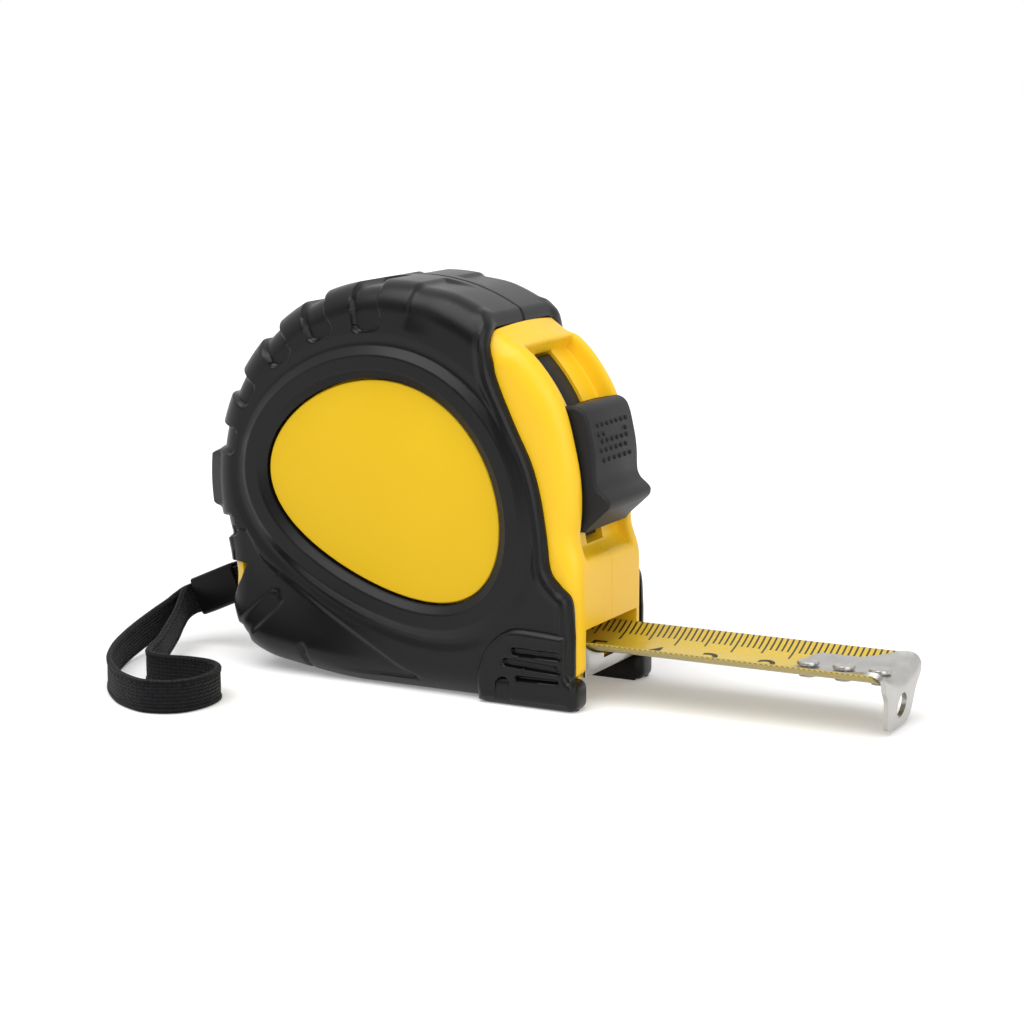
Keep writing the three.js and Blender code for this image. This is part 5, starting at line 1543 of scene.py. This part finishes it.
zinc_screw = plain_metal("dark_zinc_plate", "#4d4e52", "#66676c", 0.3, 0.5)
blued_spring = plain_metal("blued_spring_steel", "#50555f", "#6d7482", 0.3, 0.45)
wound_enamel, tree, shader = new_finish("wound_lemon_enamel", roughness=0.4)
where = add_node(tree, "ShaderNodeTexCoord")
turns = add_node(tree, "ShaderNodeTexNoise", None,
                 {"Vector": where.outputs["Object"], "Scale": spot_scale(0.667), "Detail": 2})
tint = add_node(tree, "ShaderNodeMix", {"data_type": "RGBA"},
                {0: turns.outputs[0], 6: colour("#c9ad2e"), 7: colour("#ecd048")})
link_finish(tree, shader, tint)

# %% [markdown]
# These pieces keep the CAD's own mesh and only get a finish.

# %% Finishes of the inner parts
inner_parts = {
    zinc_screw: ("screw_top", "screw_rear", "screw_front", "screw_spindle"),
    black_satin: ("drum", "drum_cover"), wound_enamel: ("blade_winding",), blued_spring: ("power_spring",),
    rubber: ("brake_shoe",), bright_steel: ("spindle_post", "strap_pin")}
for finish, names in inner_parts.items():
    for name in names:
        cad[name].data.materials.clear()
        cad[name].data.materials.append(finish)
    print(finish.name, "on", ", ".join(names))

# %% [markdown]
# ## Floor and light
# The photograph has a white table that fades into a white background, with soft light from above and in front.
# The background's white is only for the camera and for mirror-like rays. The table is matt white with a little
# glow for the camera, so it fades to white far away and still shows the soft shadow under the tape.

# %% White table
WHITE, TABLE_WHITE, TABLE_GLOW = colour("#ffffff"), colour("#e7e7e7"), 0.23
floor_mesh = bpy.data.meshes.new("table")
bm = bmesh.new()
bmesh.ops.create_grid(bm, x_segments=1, y_segments=1, size=3)
bm.to_mesh(floor_mesh)
bm.free()
floor = bpy.data.objects.new("table", floor_mesh)
bpy.context.scene.collection.objects.link(floor)
table_white = bpy.data.materials.new("matt_white_table")
table_white.use_nodes = True
tree = table_white.node_tree
tree.nodes.clear()
path = add_node(tree, "ShaderNodeLightPath")
matt = add_node(tree, "ShaderNodeBsdfDiffuse", None, {"Color": TABLE_WHITE})
glow = add_node(tree, "ShaderNodeEmission", None, {"Color": WHITE})
mirror = add_node(tree, "ShaderNodeMath", {"operation": "MAXIMUM"},
                  {0: path.outputs["Is Glossy Ray"], 1: path.outputs["Is Transmission Ray"]})
seen = add_node(tree, "ShaderNodeMath", {"operation": "MAXIMUM"},
                {0: path.outputs["Is Camera Ray"], 1: mirror.outputs[0]})
shown = add_node(tree, "ShaderNodeMath", {"operation": "MULTIPLY"}, {0: seen.outputs[0], 1: TABLE_GLOW})
tree.links.new(shown.outputs[0], glow.inputs["Strength"])
both = add_node(tree, "ShaderNodeAddShader", None, {0: matt.outputs[0], 1: glow.outputs[0]})
add_node(tree, "ShaderNodeOutputMaterial", None, {"Surface": both.outputs[0]})
floor_mesh.materials.append(table_white)
print("table and its finish of", len(tree.nodes), "nodes")

# %% [markdown]
# The world gives an even, rather dim light from all round. What the camera and mirror-like rays see of it is
# white, except that one side of the room is dim for mirror-like rays. Without that, the rubber facing that side
# would shine grey.

# %% World
AMBIENT, DIM_SIDE, DIM_STRENGTH = 0.47, (0.466, -0.885, 0), 0.15
world = bpy.data.worlds.new("studio")
bpy.context.scene.world = world
world.use_nodes = True
tree = world.node_tree
tree.nodes.clear()
path = add_node(tree, "ShaderNodeLightPath")
mirror = add_node(tree, "ShaderNodeMath", {"operation": "MAXIMUM"},
                  {0: path.outputs["Is Glossy Ray"], 1: path.outputs["Is Transmission Ray"]})
seen = add_node(tree, "ShaderNodeMath", {"operation": "MAXIMUM"},
                {0: path.outputs["Is Camera Ray"], 1: mirror.outputs[0]})
ambient = add_node(tree, "ShaderNodeBackground", None, {"Color": WHITE, "Strength": AMBIENT})
where = add_node(tree, "ShaderNodeTexCoord")
facing = add_node(tree, "ShaderNodeVectorMath", {"operation": "DOT_PRODUCT"},
                  {0: where.outputs["Generated"], 1: DIM_SIDE})
room = add_node(tree, "ShaderNodeMapRange", None, {"Value": facing.outputs["Value"], "From Min": 0.1,
                                                   "From Max": 0.6, "To Min": 1.0, "To Max": DIM_STRENGTH})
lit = add_node(tree, "ShaderNodeMath", {"operation": "MAXIMUM"},
               {0: path.outputs["Is Camera Ray"], 1: room.outputs[0]})
backdrop = add_node(tree, "ShaderNodeBackground", None, {"Color": WHITE, "Strength": lit.outputs[0]})
mixed = add_node(tree, "ShaderNodeMixShader", None,
                 {0: seen.outputs[0], 1: ambient.outputs[0], 2: backdrop.outputs[0]})
add_node(tree, "ShaderNodeOutputWorld", None, {"Surface": mixed.outputs[0]})
print("world of", len(tree.nodes), "nodes")

# %% [markdown]
# Two distant lamps with wide discs give soft shadows: a key from high up and a weaker one from the front right.

# %% Lamps
def soft_lamp(name, azimuth, elevation, power, spread):
    """A distant lamp, seen from the object at this azimuth from the front, with a wide soft disc."""
    data = bpy.data.lights.new(name, "SUN")
    data.energy, data.angle = power, math.radians(spread)
    lamp = bpy.data.objects.new(name, data)
    bpy.context.scene.collection.objects.link(lamp)
    a, e = math.radians(azimuth), math.radians(elevation)
    direction = Vector((math.sin(a) * math.cos(e), -math.cos(a) * math.cos(e), math.sin(e)))
    lamp.rotation_euler = (-direction).to_track_quat("-Z", "Y").to_euler()
    print(name, "at", azimuth, "and", elevation, "degrees")


soft_lamp("key_lamp", -8, 64, 2.35, 56)
soft_lamp("front_lamp", 60, 24, 1.15, 50)
bpy.context.scene.view_settings.view_transform = "Standard"

# %% [markdown]

# %% End of the scene
print("scene built")
